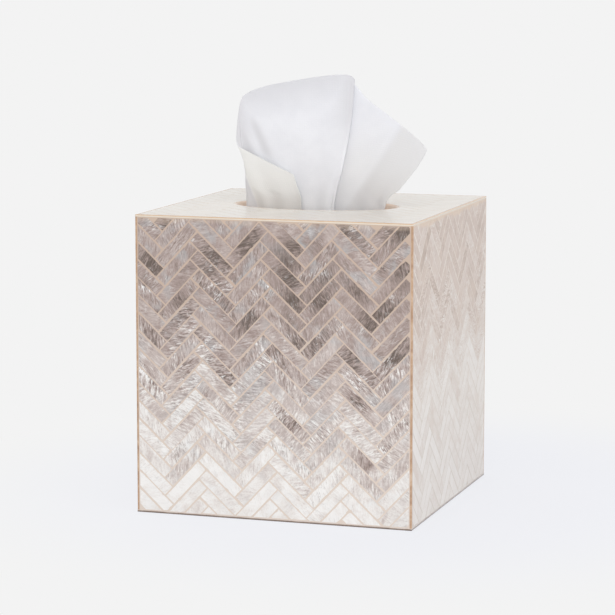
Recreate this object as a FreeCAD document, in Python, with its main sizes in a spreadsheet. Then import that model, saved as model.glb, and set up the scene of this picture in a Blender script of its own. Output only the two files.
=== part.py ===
"""Tissue box cover: a square, open-bottomed box clad in a herringbone of shell tiles.

Five boards make the box. Each outer face carries a panel of grout with shell tiles let into it, and tan
strips cover every outer edge. A rim lines the oval slot in the top. The cover stands over a carton of
tissues, and one tissue stands up through the slot.

Frame: origin on the surface that the cover stands on, below the middle of the box. X runs to the right, Y
to the back and Z up, so the front face looks along -Y. Millimetres.
"""

import FreeCAD, Part
import math
import os
import Sketcher
from FreeCAD import Placement, Rotation, Vector

doc = FreeCAD.newDocument("tissue_box_cover")

# Driving sizes: name, millimetres and what it measures
SIZES = [
    ("cover_width", 140.0, "outside, left to right"),
    ("cover_depth", 140.0, "outside, front to back"),
    ("cover_height", 147.0, "floor to the top face"),
    ("board_thick", 6.0, "wall and top boards"),
    ("clad_thick", 1.0, "tiles and grout, and the side of the square edge strips"),
    ("edge_round", 0.35, "rounded outer edge of the strips"),
    ("slot_end_margin", 29.0, "end of the oval slot to the side of the cover"),
    ("slot_side_margin", 47.0, "long side of the oval slot to the front or back of the cover"),
    ("rim_thick", 1.6, "wall of the oval rim"),
    ("tile_pitch_long", 25.5, "length of a tile with its joint"),
    ("tile_pitch_wide", 6.35, "width of a tile with its joint"),
    ("joint_width", 0.7, "grout between two tiles"),
    ("edge_joint", 0.4, "grout between a tile and a strip"),
    ("bond_gap", 0.03, "bond line between two glued pieces"),
    ("pattern_side", -19.5, "left corner of a rising tile, from the middle of the face"),
    ("pattern_rise", 9.2, "left corner of a rising tile, above the lower edge of the face"),
    ("pin_diameter", 1.2, "headless panel pins"),
    ("pin_length", 20.0, "headless panel pins"),
    ("pin_clearance", 0.05, "round a pin and below its point"),
    ("carton_side_gap", 7.0, "carton to the inside of the walls"),
    ("carton_head_gap", 13.0, "carton to the underside of the top board"),
    ("card_thick", 0.6, "carton board"),
    ("carton_oval_end_margin", 10.0, "end of the carton's opening to the side of the carton"),
    ("carton_oval_side_margin", 29.0, "long side of the carton's opening to the front of the carton"),
    ("film_thick", 0.2, "film under the opening in the carton top"),
    ("film_lap", 5.0, "film beyond the opening, glued to the carton top"),
    ("stack_side_gap", 1.0, "tissue stack to the carton walls"),
    ("stack_head_gap", 8.0, "tissue stack to the film"),
    ("tissue_slot_gap", 6.0, "raised tissue to each end of the slot"),
    ("tissue_gather", 12.0, "front to back of the gathered tissue in the slot"),
    ("tissue_rise", 66.0, "raised tissue above the top face"),
    ("tissue_reach", 55.0, "middle of the slot to the tip of the tissue"),
    ("tissue_sway", 12.0, "middle of the slot to the front or back of the spread tissue"),
    ("tissue_thick", 0.8, "two plies with the air between them"),
    ("tissue_lift", 0.3, "gathered tail above the stack"),
    ("slit_gap", 5.0, "gathered tissue to the lips of the film slit"),
    ("overrun", 1.0, "how far a cutting shape reaches past the piece it cuts"),
]

# Shares chosen by hand
PIN_HEIGHT_SHARES = (0.15, 0.5, 0.82)
TOP_PIN_SIDE_SHARES = (-0.6, 0.0, 0.6)
TOP_PIN_END_SHARES = (-0.35, 0.35)
SMALLEST_TILE_SHARE = 0.03

# The two directions of the herringbone, square to each other, as angles from level. The pattern was laid by
# hand and leans by about two degrees.
RISING_ANGLE = math.radians(47.1)
FALLING_ANGLE = RISING_ANGLE - math.pi / 2

# The raised tissue, station by station along the sheet. Each row gives the place in the gathered tail, the
# place half way up and the place of the upper edge. Tail places are shares of the half length and half depth
# of the gather. The others are shares of the reach, the sway and the rise.
TISSUE_SHARES = [
    # tail x, y, middle x, y, z, upper x, y, z
    (-0.22, -0.85, -0.24, -0.78, 0.11, -0.29, -0.80, 0.22),
    (-0.58, -0.80, -0.50, -0.88, 0.16, -0.52, -0.90, 0.33),
    (-0.95, -0.45, -0.72, -0.60, 0.22, -0.74, -0.50, 0.44),
    (-0.99, -0.26, -0.76, -0.36, 0.31, -0.75, -0.24, 0.64),
    (-0.95, -0.08, -0.74, -0.15, 0.40, -0.71, 0.05, 0.83),
    (-0.50, -0.25, -0.40, -0.30, 0.45, -0.35, -0.12, 0.92),
    (0.00, -0.30, -0.02, -0.30, 0.49, 0.04, -0.18, 0.98),
    (0.27, -0.28, 0.28, -0.16, 0.50, 0.35, -0.08, 1.00),
    (0.28, 0.08, 0.29, 0.10, 0.49, 0.36, 0.14, 0.97),
    (0.03, 0.25, 0.09, 0.30, 0.46, 0.17, 0.32, 0.93),
    (0.02, 0.70, 0.08, 0.60, 0.45, 0.16, 0.62, 0.92),
    (0.50, 0.60, 0.46, 0.78, 0.36, 0.54, 0.85, 0.71),
    (0.97, 0.22, 0.80, 0.85, 0.20, 0.98, 1.00, 0.39),
]

sheet = doc.addObject("Spreadsheet::Sheet", "sizes")
for row, (alias, value, note) in enumerate(SIZES, start=1):
    sheet.set(f"A{row}", alias)
    sheet.set(f"B{row}", str(value))
    sheet.setAlias(f"B{row}", alias)
    sheet.set(f"C{row}", note)
doc.recompute()


def size(alias):
    """The value of one driving size."""
    return float(sheet.get(alias))


# Lengths worked out from the sheet, as expressions that the pieces are bound to
HALF_WIDTH = "(sizes.cover_width / 2)"
HALF_DEPTH = "(sizes.cover_depth / 2)"
CORE_X = f"({HALF_WIDTH} - sizes.clad_thick)"
CORE_Y = f"({HALF_DEPTH} - sizes.clad_thick)"
CORE_TOP = "(sizes.cover_height - sizes.clad_thick)"
WALL_TOP = f"({CORE_TOP} - sizes.board_thick)"
SLOT_LONG = f"({HALF_WIDTH} - sizes.slot_end_margin)"
SLOT_SHORT = f"({HALF_DEPTH} - sizes.slot_side_margin)"
RIM_LONG = f"({SLOT_LONG} + sizes.rim_thick)"
RIM_SHORT = f"({SLOT_SHORT} + sizes.rim_thick)"
CARTON_X = f"({CORE_X} - sizes.board_thick - sizes.carton_side_gap)"
CARTON_Y = f"({CORE_Y} - sizes.board_thick - sizes.carton_side_gap)"
CARTON_TOP = f"({WALL_TOP} - sizes.carton_head_gap)"
CARTON_OVAL_LONG = f"({CARTON_X} - sizes.carton_oval_end_margin)"
CARTON_OVAL_SHORT = f"({CARTON_Y} - sizes.carton_oval_side_margin)"
FILM_TOP = f"({CARTON_TOP} - sizes.card_thick)"
STACK_HEIGHT = f"({FILM_TOP} - sizes.film_thick - sizes.stack_head_gap - sizes.card_thick)"


def worked_out(expression):
    """The value of an expression over the driving sizes."""
    return float(sheet.evalExpression(expression.replace("sizes.", "")))


def bind(obj, expressions):
    """Bind properties of a document object to expressions over the sheet."""
    for path, expression in expressions.items():
        obj.setExpression(path, expression)
    return obj


def place(obj, x="0", y="0", z="0", turn=None):
    """Turn an object once and bind its place to the sheet."""
    if turn is not None:
        obj.Placement = Placement(Vector(), turn)
    return bind(obj, {"Placement.Base.x": x, "Placement.Base.y": y, "Placement.Base.z": z})


def box(name, length, width, height, x, y, z):
    """A block with one corner at x, y, z."""
    block = doc.addObject("Part::Box", name)
    bind(block, {"Length": length, "Width": width, "Height": height})
    return place(block, x, y, z)


def oval_prism(name, long_radius, short_radius, low, height):
    """An upright prism of elliptical section about the Z axis."""
    outline = doc.addObject("Part::Ellipse", f"{name}_outline")
    bind(outline, {"MajorRadius": long_radius, "MinorRadius": short_radius})
    place(outline, z=low)
    prism = doc.addObject("Part::Extrusion", name)
    prism.Base = outline
    prism.DirMode = "Custom"
    prism.Dir = Vector(0, 0, 1)
    prism.Solid = True
    return bind(prism, {"LengthFwd": height})


def cut(label, base, tool):
    """One piece less another, as a labelled sub-part."""
    result = doc.addObject("Part::Cut", label)
    result.Base = base
    result.Tool = tool
    result.Label = label
    return result


def compound(name, members):
    """Separate solids kept together under one name."""
    group = doc.addObject("Part::Compound", name)
    group.Links = members
    return group


# The four sides in the order in which quarter turns about the upright axis carry the front face onto them
SIDES = ["front", "right", "back", "left"]
QUARTER_TURN = 90


def about_z(quarters):
    """A turn about the upright axis."""
    return Rotation(Vector(0, 0, 1), quarters * QUARTER_TURN)


def about_x(quarters):
    """A turn about the axis that runs from left to right."""
    return Rotation(Vector(1, 0, 0), quarters * QUARTER_TURN)


INTO_FRONT = about_x(-1)
INTO_BACK = about_x(1)
DOWNWARD = about_x(2)


def pin_places():
    """Head place and turn of every pin: first through the front and back boards, then through the top."""
    wall, top = [], []
    middle_x = f"({CORE_X} - sizes.board_thick / 2)"
    middle_y = f"({CORE_Y} - sizes.board_thick / 2)"
    for side in ("-", ""):
        for share in PIN_HEIGHT_SHARES:
            up = f"{share} * {WALL_TOP}"
            wall.append((f"{side}{middle_x}", f"-{CORE_Y}", up, INTO_FRONT))
            wall.append((f"{side}{middle_x}", CORE_Y, up, INTO_BACK))
        for share in TOP_PIN_SIDE_SHARES:
            top.append((f"{share} * {CORE_X}", f"{side}{middle_y}", CORE_TOP, DOWNWARD))
        for share in TOP_PIN_END_SHARES:
            top.append((f"{side}{middle_x}", f"{share} * {CORE_Y}", CORE_TOP, DOWNWARD))
    return wall, top


def pin_row(name, places, radius, length):
    """One cylinder per place, running inward from its head."""
    pins = []
    for number, (x, y, z, turn) in enumerate(places, start=1):
        pin = doc.addObject("Part::Cylinder", f"{name}_{number}")
        bind(pin, {"Radius": radius, "Height": length})
        pins.append(place(pin, x, y, z, turn))
    return compound(name, pins)


def boards_and_pins():
    """Butt-jointed wall boards, the top board that lies on them and the pins through both joints."""
    wall_places, top_places = pin_places()
    pin_radius = "sizes.pin_diameter / 2"
    hole_radius = "sizes.pin_diameter / 2 + sizes.pin_clearance"
    hole_length = "sizes.pin_length + sizes.pin_clearance"
    pins = [pin_row("wall_pins", wall_places, pin_radius, "sizes.pin_length"),
            pin_row("top_pins", top_places, pin_radius, "sizes.pin_length")]
    holes = compound("pin_holes", [pin_row("wall_pin_holes", wall_places, hole_radius, hole_length),
                                   pin_row("top_pin_holes", top_places, hole_radius, hole_length)])
    thick = "sizes.board_thick"
    across = f"2 * {CORE_X}"
    between = f"2 * ({CORE_Y} - {thick})"
    blanks = {
        "front_board": (across, thick, WALL_TOP, f"-{CORE_X}", f"-{CORE_Y}", "0"),
        "back_board": (across, thick, WALL_TOP, f"-{CORE_X}", f"{CORE_Y} - {thick}", "0"),
        "left_board": (thick, between, WALL_TOP, f"-{CORE_X}", f"-({CORE_Y} - {thick})", "0"),
        "right_board": (thick, between, WALL_TOP, f"{CORE_X} - {thick}", f"-({CORE_Y} - {thick})", "0"),
    }
    boards = []
    for label, sizes_and_place in blanks.items():
        boards.append(cut(label, box(f"{label}_blank", *sizes_and_place), holes))
    top_blank = box("top_board_blank", across, f"2 * {CORE_Y}", thick, f"-{CORE_X}", f"-{CORE_Y}", WALL_TOP)
    hole = oval_prism("top_board_hole", f"{RIM_LONG} + sizes.bond_gap", f"{RIM_SHORT} + sizes.bond_gap",
                      f"{WALL_TOP} - sizes.overrun", f"{thick} + 2 * sizes.overrun")
    holed = cut("top_board_holed", top_blank, hole)
    boards.append(cut("top_board", holed, holes))
    return boards + pins


def oval_rim():
    """The rim that lines the slot, from the underside of the top board to the top face."""
    height = "sizes.board_thick + sizes.clad_thick"
    outside = oval_prism("rim_outside", RIM_LONG, RIM_SHORT, WALL_TOP, height)
    inside = oval_prism("rim_inside", SLOT_LONG, SLOT_SHORT, f"{WALL_TOP} - sizes.overrun",
                        f"{height} + 2 * sizes.overrun")
    return cut("oval_rim", outside, inside)


def closed_wire(points):
    return Part.makePolygon(points + points[:1])


def plane_of(body, role):
    """One of the body's own origin planes."""
    return next(plane for plane in body.Origin.OriginFeatures if plane.Role == role)


def flat_sketch(body, name):
    """An empty sketch on the body's own XY plane."""
    sketch = body.newObject("Sketcher::SketchObject", name)
    sketch.AttachmentSupport = [(plane_of(body, "XY_Plane"), "")]
    sketch.MapMode = "FlatFace"
    return sketch


def sketch_outline(sketch, points):
    """A closed outline of lines whose corners are bound to pairs of expressions."""
    first = sketch.GeometryCount
    values = [Vector(worked_out(x), worked_out(y), 0) for x, y in points]
    count = len(points)
    for number in range(count):
        sketch.addGeometry(Part.LineSegment(values[number], values[(number + 1) % count]), False)
    for number in range(count):
        following = first + (number + 1) % count
        sketch.addConstraint(Sketcher.Constraint("Coincident", first + number, 2, following, 1))
    for number, (x, y) in enumerate(points):
        across = ("DistanceX", x, values[number].x)
        upward = ("DistanceY", y, values[number].y)
        for kind, expression, value in (across, upward):
            place_of = sketch.addConstraint(Sketcher.Constraint(kind, -1, 1, first + number, 1, value))
            sketch.setExpression(f"Constraints[{place_of}]", expression)


def padded_body(label, outlines, height):
    """A body padded up from one or more closed outlines on its base plane."""
    body = doc.addObject("PartDesign::Body", label)
    body.Label = label
    sketch = flat_sketch(body, f"{label}_outline")
    for outline in outlines:
        sketch_outline(sketch, outline)
    pad = body.newObject("PartDesign::Pad", f"{label}_pad")
    pad.Profile = sketch
    bind(pad, {"Length": height})
    doc.recompute()
    return body, pad


def round_edge(body, pad, low, high):
    """Round the straight edge of the pad that runs between two points."""
    middle = (low + high) / 2
    nearest = min(range(len(pad.Shape.Edges)),
                  key=lambda number: (pad.Shape.Edges[number].CenterOfMass - middle).Length)
    fillet = body.newObject("PartDesign::Fillet", f"{body.Label}_round")
    fillet.Base = (pad, [f"Edge{nearest + 1}"])
    bind(fillet, {"Radius": "sizes.edge_round"})


def edge_strips():
    """Mitred strips round the top and the bottom, and corner strips between them."""
    side = "sizes.clad_thick"
    strips = []
    for quarters, face in enumerate(SIDES):
        half = HALF_WIDTH if face in ("front", "back") else HALF_DEPTH
        x, y = {"front": ("0", f"-{HALF_DEPTH}"), "right": (HALF_WIDTH, "0"),
                "back": ("0", HALF_DEPTH), "left": (f"-{HALF_WIDTH}", "0")}[face]
        mitred = [(f"-{half}", "0"), (half, "0"), (f"{half} - {side}", side), (f"-{half} + {side}", side)]
        for level, z in (("top", CORE_TOP), ("bottom", "0")):
            body, pad = padded_body(f"{face}_{level}_strip", [mitred], side)
            if level == "top":
                reach = Vector(worked_out(half), 0, 0)
                rise = Vector(0, 0, size("clad_thick"))
                round_edge(body, pad, rise - reach, rise + reach)
            strips.append(place(body, x, y, z, about_z(quarters)))
    square = [("0", "0"), (side, "0"), (side, side), ("0", side)]
    corners = [("front_left", "-", "-"), ("front_right", "", "-"), ("back_right", "", ""), ("back_left", "-", "")]
    for quarters, (corner, sign_x, sign_y) in enumerate(corners):
        height = f"{CORE_TOP} - {side}"
        body, pad = padded_body(f"{corner}_corner_strip", [square], height)
        round_edge(body, pad, Vector(), Vector(0, 0, worked_out(height)))
        x, y = f"{sign_x}{HALF_WIDTH}", f"{sign_y}{HALF_DEPTH}"
        strips.append(place(body, x, y, side, about_z(quarters)))
    return strips


def clipped(points, axis, limit, sign):
    """The part of a convex outline where sign times the coordinate stays within sign times the limit."""
    kept = []
    for number, here in enumerate(points):
        before = points[number - 1]
        depth_here = sign * (limit - here[axis])
        depth_before = sign * (limit - before[axis])
        if depth_here * depth_before < 0:
            along = depth_before / (depth_before - depth_here)
            kept.append(tuple(b + along * (h - b) for b, h in zip(before, here)))
        if depth_here >= 0:
            kept.append(here)
    return kept


def herringbone_outline(low, high, field, inset):
    """One tile, from its ranges along the rising and falling diagonals, inset and cut to the field."""
    corners = [(low[0] + inset, low[1] + inset), (high[0] - inset, low[1] + inset),
               (high[0] - inset, high[1] - inset), (low[0] + inset, high[1] - inset)]
    start = (size("pattern_side"), field[1] + size("pattern_rise"))
    points = [(start[0] + rising * math.cos(RISING_ANGLE) + falling * math.cos(FALLING_ANGLE),
               start[1] + rising * math.sin(RISING_ANGLE) + falling * math.sin(FALLING_ANGLE))
              for rising, falling in corners]
    edge = inset - size("joint_width") / 2 + size("edge_joint")
    for axis, limit, sign in ((0, field[0] + edge, -1), (0, field[2] - edge, 1),
                              (1, field[1] + edge, -1), (1, field[3] - edge, 1)):
        points = clipped(points, axis, limit, sign)
    return points


def outline_face(points):
    return Part.Face(closed_wire([Vector(across, up, 0) for across, up in points]))


def oval_face(margin):
    """A flat oval that lies the given margin outside the slot."""
    oval = Part.Ellipse(Vector(), worked_out(SLOT_LONG) + margin, worked_out(SLOT_SHORT) + margin)
    return Part.Face(Part.Wire(oval.toShape()))


def herringbone(field, around_slot):
    """Pairs of flat faces, the pocket in the grout and the tile in it, over a rectangular field.

    Along the two directions a rising tile covers L by W and the falling tile at its upper end covers W by L.
    The pair repeats at (L, L) across the field and at (W, -W) up it.
    """
    length = size("tile_pitch_long")
    width = size("tile_pitch_wide")
    bond = size("bond_gap")
    half_joint = size("joint_width") / 2
    smallest = SMALLEST_TILE_SHARE * length * width
    beside_rim = size("rim_thick") + bond + size("joint_width")
    span = (field[2] - field[0]) + (field[3] - field[1])
    columns = math.ceil(span / (math.sqrt(2) * length))
    rows = math.ceil(span / (math.sqrt(2) * width))
    pairs = []
    for column in range(-columns, columns + 1):
        for row in range(-rows, rows + 1):
            rising = column * length + row * width
            falling = column * length - row * width
            for low, high in (((rising, falling), (rising + length, falling + width)),
                              ((rising + length, falling), (rising + length + width, falling + length))):
                pocket = herringbone_outline(low, high, field, half_joint)
                tile = herringbone_outline(low, high, field, half_joint + bond)
                if len(pocket) < 3 or len(tile) < 3:
                    continue
                pockets, tiles = [outline_face(pocket)], [outline_face(tile)]
                if around_slot:
                    pockets = pockets[0].cut(oval_face(beside_rim)).Faces
                    tiles = tiles[0].cut(oval_face(beside_rim + bond)).Faces
                for face in pockets:
                    if face.Area >= smallest and tiles:
                        nearest = min(tiles, key=lambda t: (t.CenterOfMass - face.CenterOfMass).Length)
                        pairs.append((face, nearest))
    return pairs


def cladding():
    """A grout panel and its group of shell tiles for each of the four sides and the top."""
    thick = size("clad_thick")
    outward = Vector(0, 0, thick)
    pieces = []
    for face in SIDES + ["top"]:
        half = size("cover_depth" if face in ("right", "left") else "cover_width") / 2 - thick
        field = (-half, thick, half, size("cover_height") - thick)
        out = size("cover_width" if face in ("right", "left") else "cover_depth") / 2 - thick
        if face == "top":
            field = (-half, -out, half, out)
            spot = Placement(Vector(0, 0, size("cover_height") - thick), Rotation())
        else:
            turn = about_z(SIDES.index(face))
            upright = turn.multiply(about_x(1))
            spot = Placement(turn.multVec(Vector(0, -out, 0)), upright)
        pairs = herringbone(field, face == "top")
        rectangle = closed_wire([Vector(field[0], field[1], 0), Vector(field[2], field[1], 0),
                                 Vector(field[2], field[3], 0), Vector(field[0], field[3], 0)])
        wires = [rectangle] + [pocket.OuterWire for pocket, tile in pairs]
        if face == "top":
            wires.append(oval_face(size("rim_thick") + size("bond_gap")).OuterWire)
        grout = doc.addObject("Part::Feature", f"{face}_grout")
        grout.Shape = Part.Face(wires, "Part::FaceMakerBullseye").extrude(outward)
        tiles = doc.addObject("Part::Feature", f"{face}_tiles")
        tiles.Shape = Part.Compound([tile.extrude(outward) for pocket, tile in pairs])
        for piece in (grout, tiles):
            piece.Placement = spot
            pieces.append(piece)
        print(f"{face}: {len(pairs)} tiles")
    return pieces


def carton():
    """The refill: carton walls, base and top, the film under its opening and the stack of tissues."""
    card = "sizes.card_thick"

    def rectangle(half_x, half_y):
        return [(f"-{half_x}", f"-{half_y}"), (half_x, f"-{half_y}"),
                (half_x, half_y), (f"-{half_x}", half_y)]

    def panel(name, z):
        return box(name, f"2 * {CARTON_X}", f"2 * {CARTON_Y}", card, f"-{CARTON_X}", f"-{CARTON_Y}", z)

    outside = rectangle(CARTON_X, CARTON_Y)
    inside = rectangle(f"({CARTON_X} - {card})", f"({CARTON_Y} - {card})")
    walls = place(padded_body("carton_walls", [outside, inside], f"{CARTON_TOP} - 2 * {card}")[0], z=card)
    base = panel("carton_base", "0")
    opening = oval_prism("carton_opening", CARTON_OVAL_LONG, CARTON_OVAL_SHORT,
                         f"{FILM_TOP} - sizes.overrun", f"{card} + 2 * sizes.overrun")
    top = cut("carton_top", panel("carton_top_blank", FILM_TOP), opening)
    inside_x = f"({CARTON_X} - {card} - sizes.stack_side_gap)"
    inside_y = f"({CARTON_Y} - {card} - sizes.stack_side_gap)"
    stack = box("tissue_stack", f"2 * {inside_x}", f"2 * {inside_y}", STACK_HEIGHT,
                f"-{inside_x}", f"-{inside_y}", card)
    return [walls, base, top, slit_film(), stack]


def gather_half_length():
    """Middle of the slot to either end of the gathered tissue."""
    return worked_out(SLOT_LONG) - size("tissue_slot_gap")


def slit_film():
    """The film under the carton's opening, with its slit held open in a lens by the gathered tissue."""
    half_x = worked_out(CARTON_OVAL_LONG) + size("film_lap")
    half_y = worked_out(CARTON_OVAL_SHORT) + size("film_lap")
    edge = closed_wire([Vector(-half_x, -half_y, 0), Vector(half_x, -half_y, 0),
                        Vector(half_x, half_y, 0), Vector(-half_x, half_y, 0)])
    end = Vector(gather_half_length() + size("slit_gap"), 0, 0)
    lip = Vector(0, size("tissue_gather") / 2 + size("slit_gap"), 0)
    slit = Part.Wire([Part.Arc(-end, -lip, end).toShape(), Part.Arc(end, lip, -end).toShape()])
    film = doc.addObject("Part::Feature", "carton_film")
    thick = Vector(0, 0, size("film_thick"))
    film.Shape = Part.Face([edge, slit], "Part::FaceMakerBullseye").extrude(thick)
    film.Placement = Placement(Vector(0, 0, worked_out(FILM_TOP)) - thick, Rotation())
    return film


def tissue_stations():
    """Centre points of the raised tissue, four levels for each station along the sheet."""
    top = size("cover_height")
    foot = worked_out(f"{STACK_HEIGHT} + sizes.card_thick + sizes.tissue_lift")
    half_x = gather_half_length()
    half_y = size("tissue_gather") / 2
    reach, sway, rise = size("tissue_reach"), size("tissue_sway"), size("tissue_rise")
    stations = []
    for tail_x, tail_y, middle_x, middle_y, middle_z, upper_x, upper_y, upper_z in TISSUE_SHARES:
        stations.append([
            Vector(tail_x * half_x, tail_y * half_y, foot),
            Vector(tail_x * half_x, tail_y * half_y, top),
            Vector(middle_x * reach, middle_y * sway, top + middle_z * rise),
            Vector(upper_x * reach, upper_y * sway, top + upper_z * rise)])
    return stations


def ruled_patch(first, second):
    """The face that a straight line sweeps as its ends slide along two facing edges."""
    return Part.makeRuledSurface(Part.makeLine(*first), Part.makeLine(*second))


def raised_tissue():
    """The tissue in the slot: a folded sheet of even thickness, patched together along its width."""
    stations = tissue_stations()
    half_thick = size("tissue_thick") / 2
    rings = []
    for number, levels in enumerate(stations):
        before = stations[max(number - 1, 0)]
        after = stations[min(number + 1, len(stations) - 1)]
        along = sum((b - a for a, b in zip(before, levels)), Vector())
        along = along.normalize() if number else Vector()
        onward = sum((b - a for a, b in zip(levels, after)), Vector())
        along = along + onward.normalize() if onward.Length else along
        across = Vector(-along.y, along.x, 0).normalize() * half_thick
        rings.append([level + across for level in levels] + [level - across for level in reversed(levels)])
    sides = []
    for ring, following in zip(rings, rings[1:]):
        for number in range(len(ring)):
            sides.append(ruled_patch((ring[number - 1], ring[number]),
                                     (following[number - 1], following[number])))
    ends = []
    for ring in (rings[0], rings[-1]):
        for number in range(len(ring) // 2 - 1):
            ends.append(Part.Face(closed_wire([ring[number], ring[number + 1], ring[-2 - number],
                                               ring[-1 - number]])))
    shell = Part.makeShell(sides + ends)
    shell.sewShape()
    tissue = doc.addObject("Part::Feature", "raised_tissue")
    solid = Part.Solid(shell)
    if solid.Volume < 0:
        solid.reverse()
    tissue.Shape = solid
    return tissue


sub_parts = boards_and_pins() + [oval_rim()] + edge_strips()
sub_parts += cladding() + carton() + [raised_tissue()]
doc.recompute()

for obj in doc.Objects:
    if "Invalid" in obj.State or "Error" in obj.State:
        raise RuntimeError(f"{obj.Label} failed: {obj.State}")
for sub_part in sub_parts:
    if sub_part.Shape.isNull() or not sub_part.Shape.isValid() or sub_part.Shape.Volume <= 0:
        raise RuntimeError(f"{sub_part.Label} has no valid shape")

os.makedirs("parts", exist_ok=True)
for sub_part in sub_parts:
    sub_part.Shape.exportStep(f"parts/{sub_part.Label}.step")
print(f"{len(sub_parts)} sub-parts written")
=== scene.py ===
# %% [markdown]
# # A tissue box cover in shell herringbone
#
# The cover is a square box without a bottom that stands over a carton of tissues. Narrow slips of shell are
# laid in a herringbone on every face, tan strips guard the edges, and one tissue stands up through an oval
# slot. The packed model holds the true sizes, so this lesson only dresses it: it never moves a piece.

# %% Load the packed model
import math

import bpy
import numpy as np
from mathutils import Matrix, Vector


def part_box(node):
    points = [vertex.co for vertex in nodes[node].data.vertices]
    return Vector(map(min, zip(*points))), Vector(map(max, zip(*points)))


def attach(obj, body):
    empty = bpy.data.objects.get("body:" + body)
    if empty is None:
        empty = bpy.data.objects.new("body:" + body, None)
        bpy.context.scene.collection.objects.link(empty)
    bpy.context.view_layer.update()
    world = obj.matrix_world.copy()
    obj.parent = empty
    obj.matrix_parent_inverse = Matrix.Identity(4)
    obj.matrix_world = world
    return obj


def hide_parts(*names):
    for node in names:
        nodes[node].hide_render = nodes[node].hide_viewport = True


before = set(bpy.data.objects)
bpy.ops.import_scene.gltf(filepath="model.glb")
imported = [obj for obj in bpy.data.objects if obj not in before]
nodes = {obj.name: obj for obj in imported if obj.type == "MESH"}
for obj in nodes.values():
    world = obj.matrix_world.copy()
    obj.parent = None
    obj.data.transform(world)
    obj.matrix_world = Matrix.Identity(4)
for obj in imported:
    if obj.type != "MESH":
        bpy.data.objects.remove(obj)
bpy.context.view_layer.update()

MM = 0.001
print("nodes in the frame:", len(nodes))

# %% [markdown]
# ## The camera
#
# A product picture like this one is taken from far off with a long lens, so that upright edges stay almost
# parallel. The place and lens below were fitted to the corners of the box that the picture shows. A shorter
# lens nearer by could frame the box as well, but its sides would splay.

# %% Set up the camera
EYE = Vector((407.3, -1274.0, 284.2)) * MM
LOOK_AT = Vector((-4.76, 0.0, 94.83)) * MM
LENS_MM = 156.9
SENSOR_MM = 36.0


def aim(thing, place, target):
    """Put a camera or lamp at a place with its view axis, which is its own -Z, on the target."""
    thing.location = place
    thing.rotation_euler = (target - place).to_track_quat("-Z", "Y").to_euler()


photo_view = bpy.data.objects.new("photo_view", bpy.data.cameras.new("photo_view"))
photo_view.data.lens = LENS_MM
photo_view.data.sensor_width = SENSOR_MM
aim(photo_view, EYE, LOOK_AT)
bpy.context.scene.collection.objects.link(photo_view)
bpy.context.scene.camera = photo_view
bpy.context.scene.view_settings.view_transform = "Standard"
print("camera distance:", round((EYE - LOOK_AT).length, 3), "m")

# %% [markdown]
# ## A short way to write finishes
#
# Every finish here is a node tree round one Principled shader. Written out in full, each node takes four or
# five lines, so three small classes, each built on the one before, do the repeated part: they add a node,
# fill its sockets with values or links, and hand back the socket that the next node needs. Colours are
# given as they should look on the screen.

# %% Add nodes and read the surface


class Wiring:
    """A material round one Principled shader, with short calls that add nodes and return sockets."""

    def __init__(self, name):
        self.material = bpy.data.materials.new(name)
        self.material.use_nodes = True
        self.tree = self.material.node_tree
        self.shader = self.tree.nodes["Principled BSDF"]

    def feed(self, socket, value):
        """Link a socket into this one, or set a plain value on it."""
        if isinstance(value, bpy.types.NodeSocket):
            self.tree.links.new(value, socket)
        else:
            socket.default_value = value

    def add(self, kind, settings, values):
        """A node with its settings and with something in each of the named sockets."""
        node = self.tree.nodes.new(kind)
        for name, value in settings.items():
            setattr(node, name, value)
        for name, value in values.items():
            self.feed(node.inputs[name], value)
        return node

    def place(self):
        """Object coordinates, in metres."""
        return self.add("ShaderNodeTexCoord", {}, {}).outputs["Object"]

    def surface_map(self, name):
        """One of the piece's own UV maps."""
        return self.add("ShaderNodeUVMap", {"uv_map": name}, {}).outputs["UV"]

    def given(self, name):
        """A number that the mesh carries."""
        return self.add("ShaderNodeAttribute", {"attribute_name": name}, {}).outputs["Fac"]

    def part(self, vector, axis):
        """One coordinate of a vector."""
        return self.add("ShaderNodeSeparateXYZ", {}, {"Vector": vector}).outputs[axis]

    def stretched(self, vector, scale):
        """A place scaled differently along each axis."""
        return self.add("ShaderNodeMapping", {}, {"Vector": vector, "Scale": scale}).outputs["Vector"]

    def noise(self, vector, scale, detail=4.0, rough=0.55, wander=0.0):
        """Cloudy noise from 0 to 1, mostly near a half."""
        return self.add("ShaderNodeTexNoise", {}, {
            "Vector": vector, "Scale": scale, "Detail": detail, "Roughness": rough,
            "Distortion": wander}).outputs["Fac"]


print("calls that add nodes:", [name for name in vars(Wiring) if not name.startswith("_")])

# %% Sums on sockets


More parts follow.
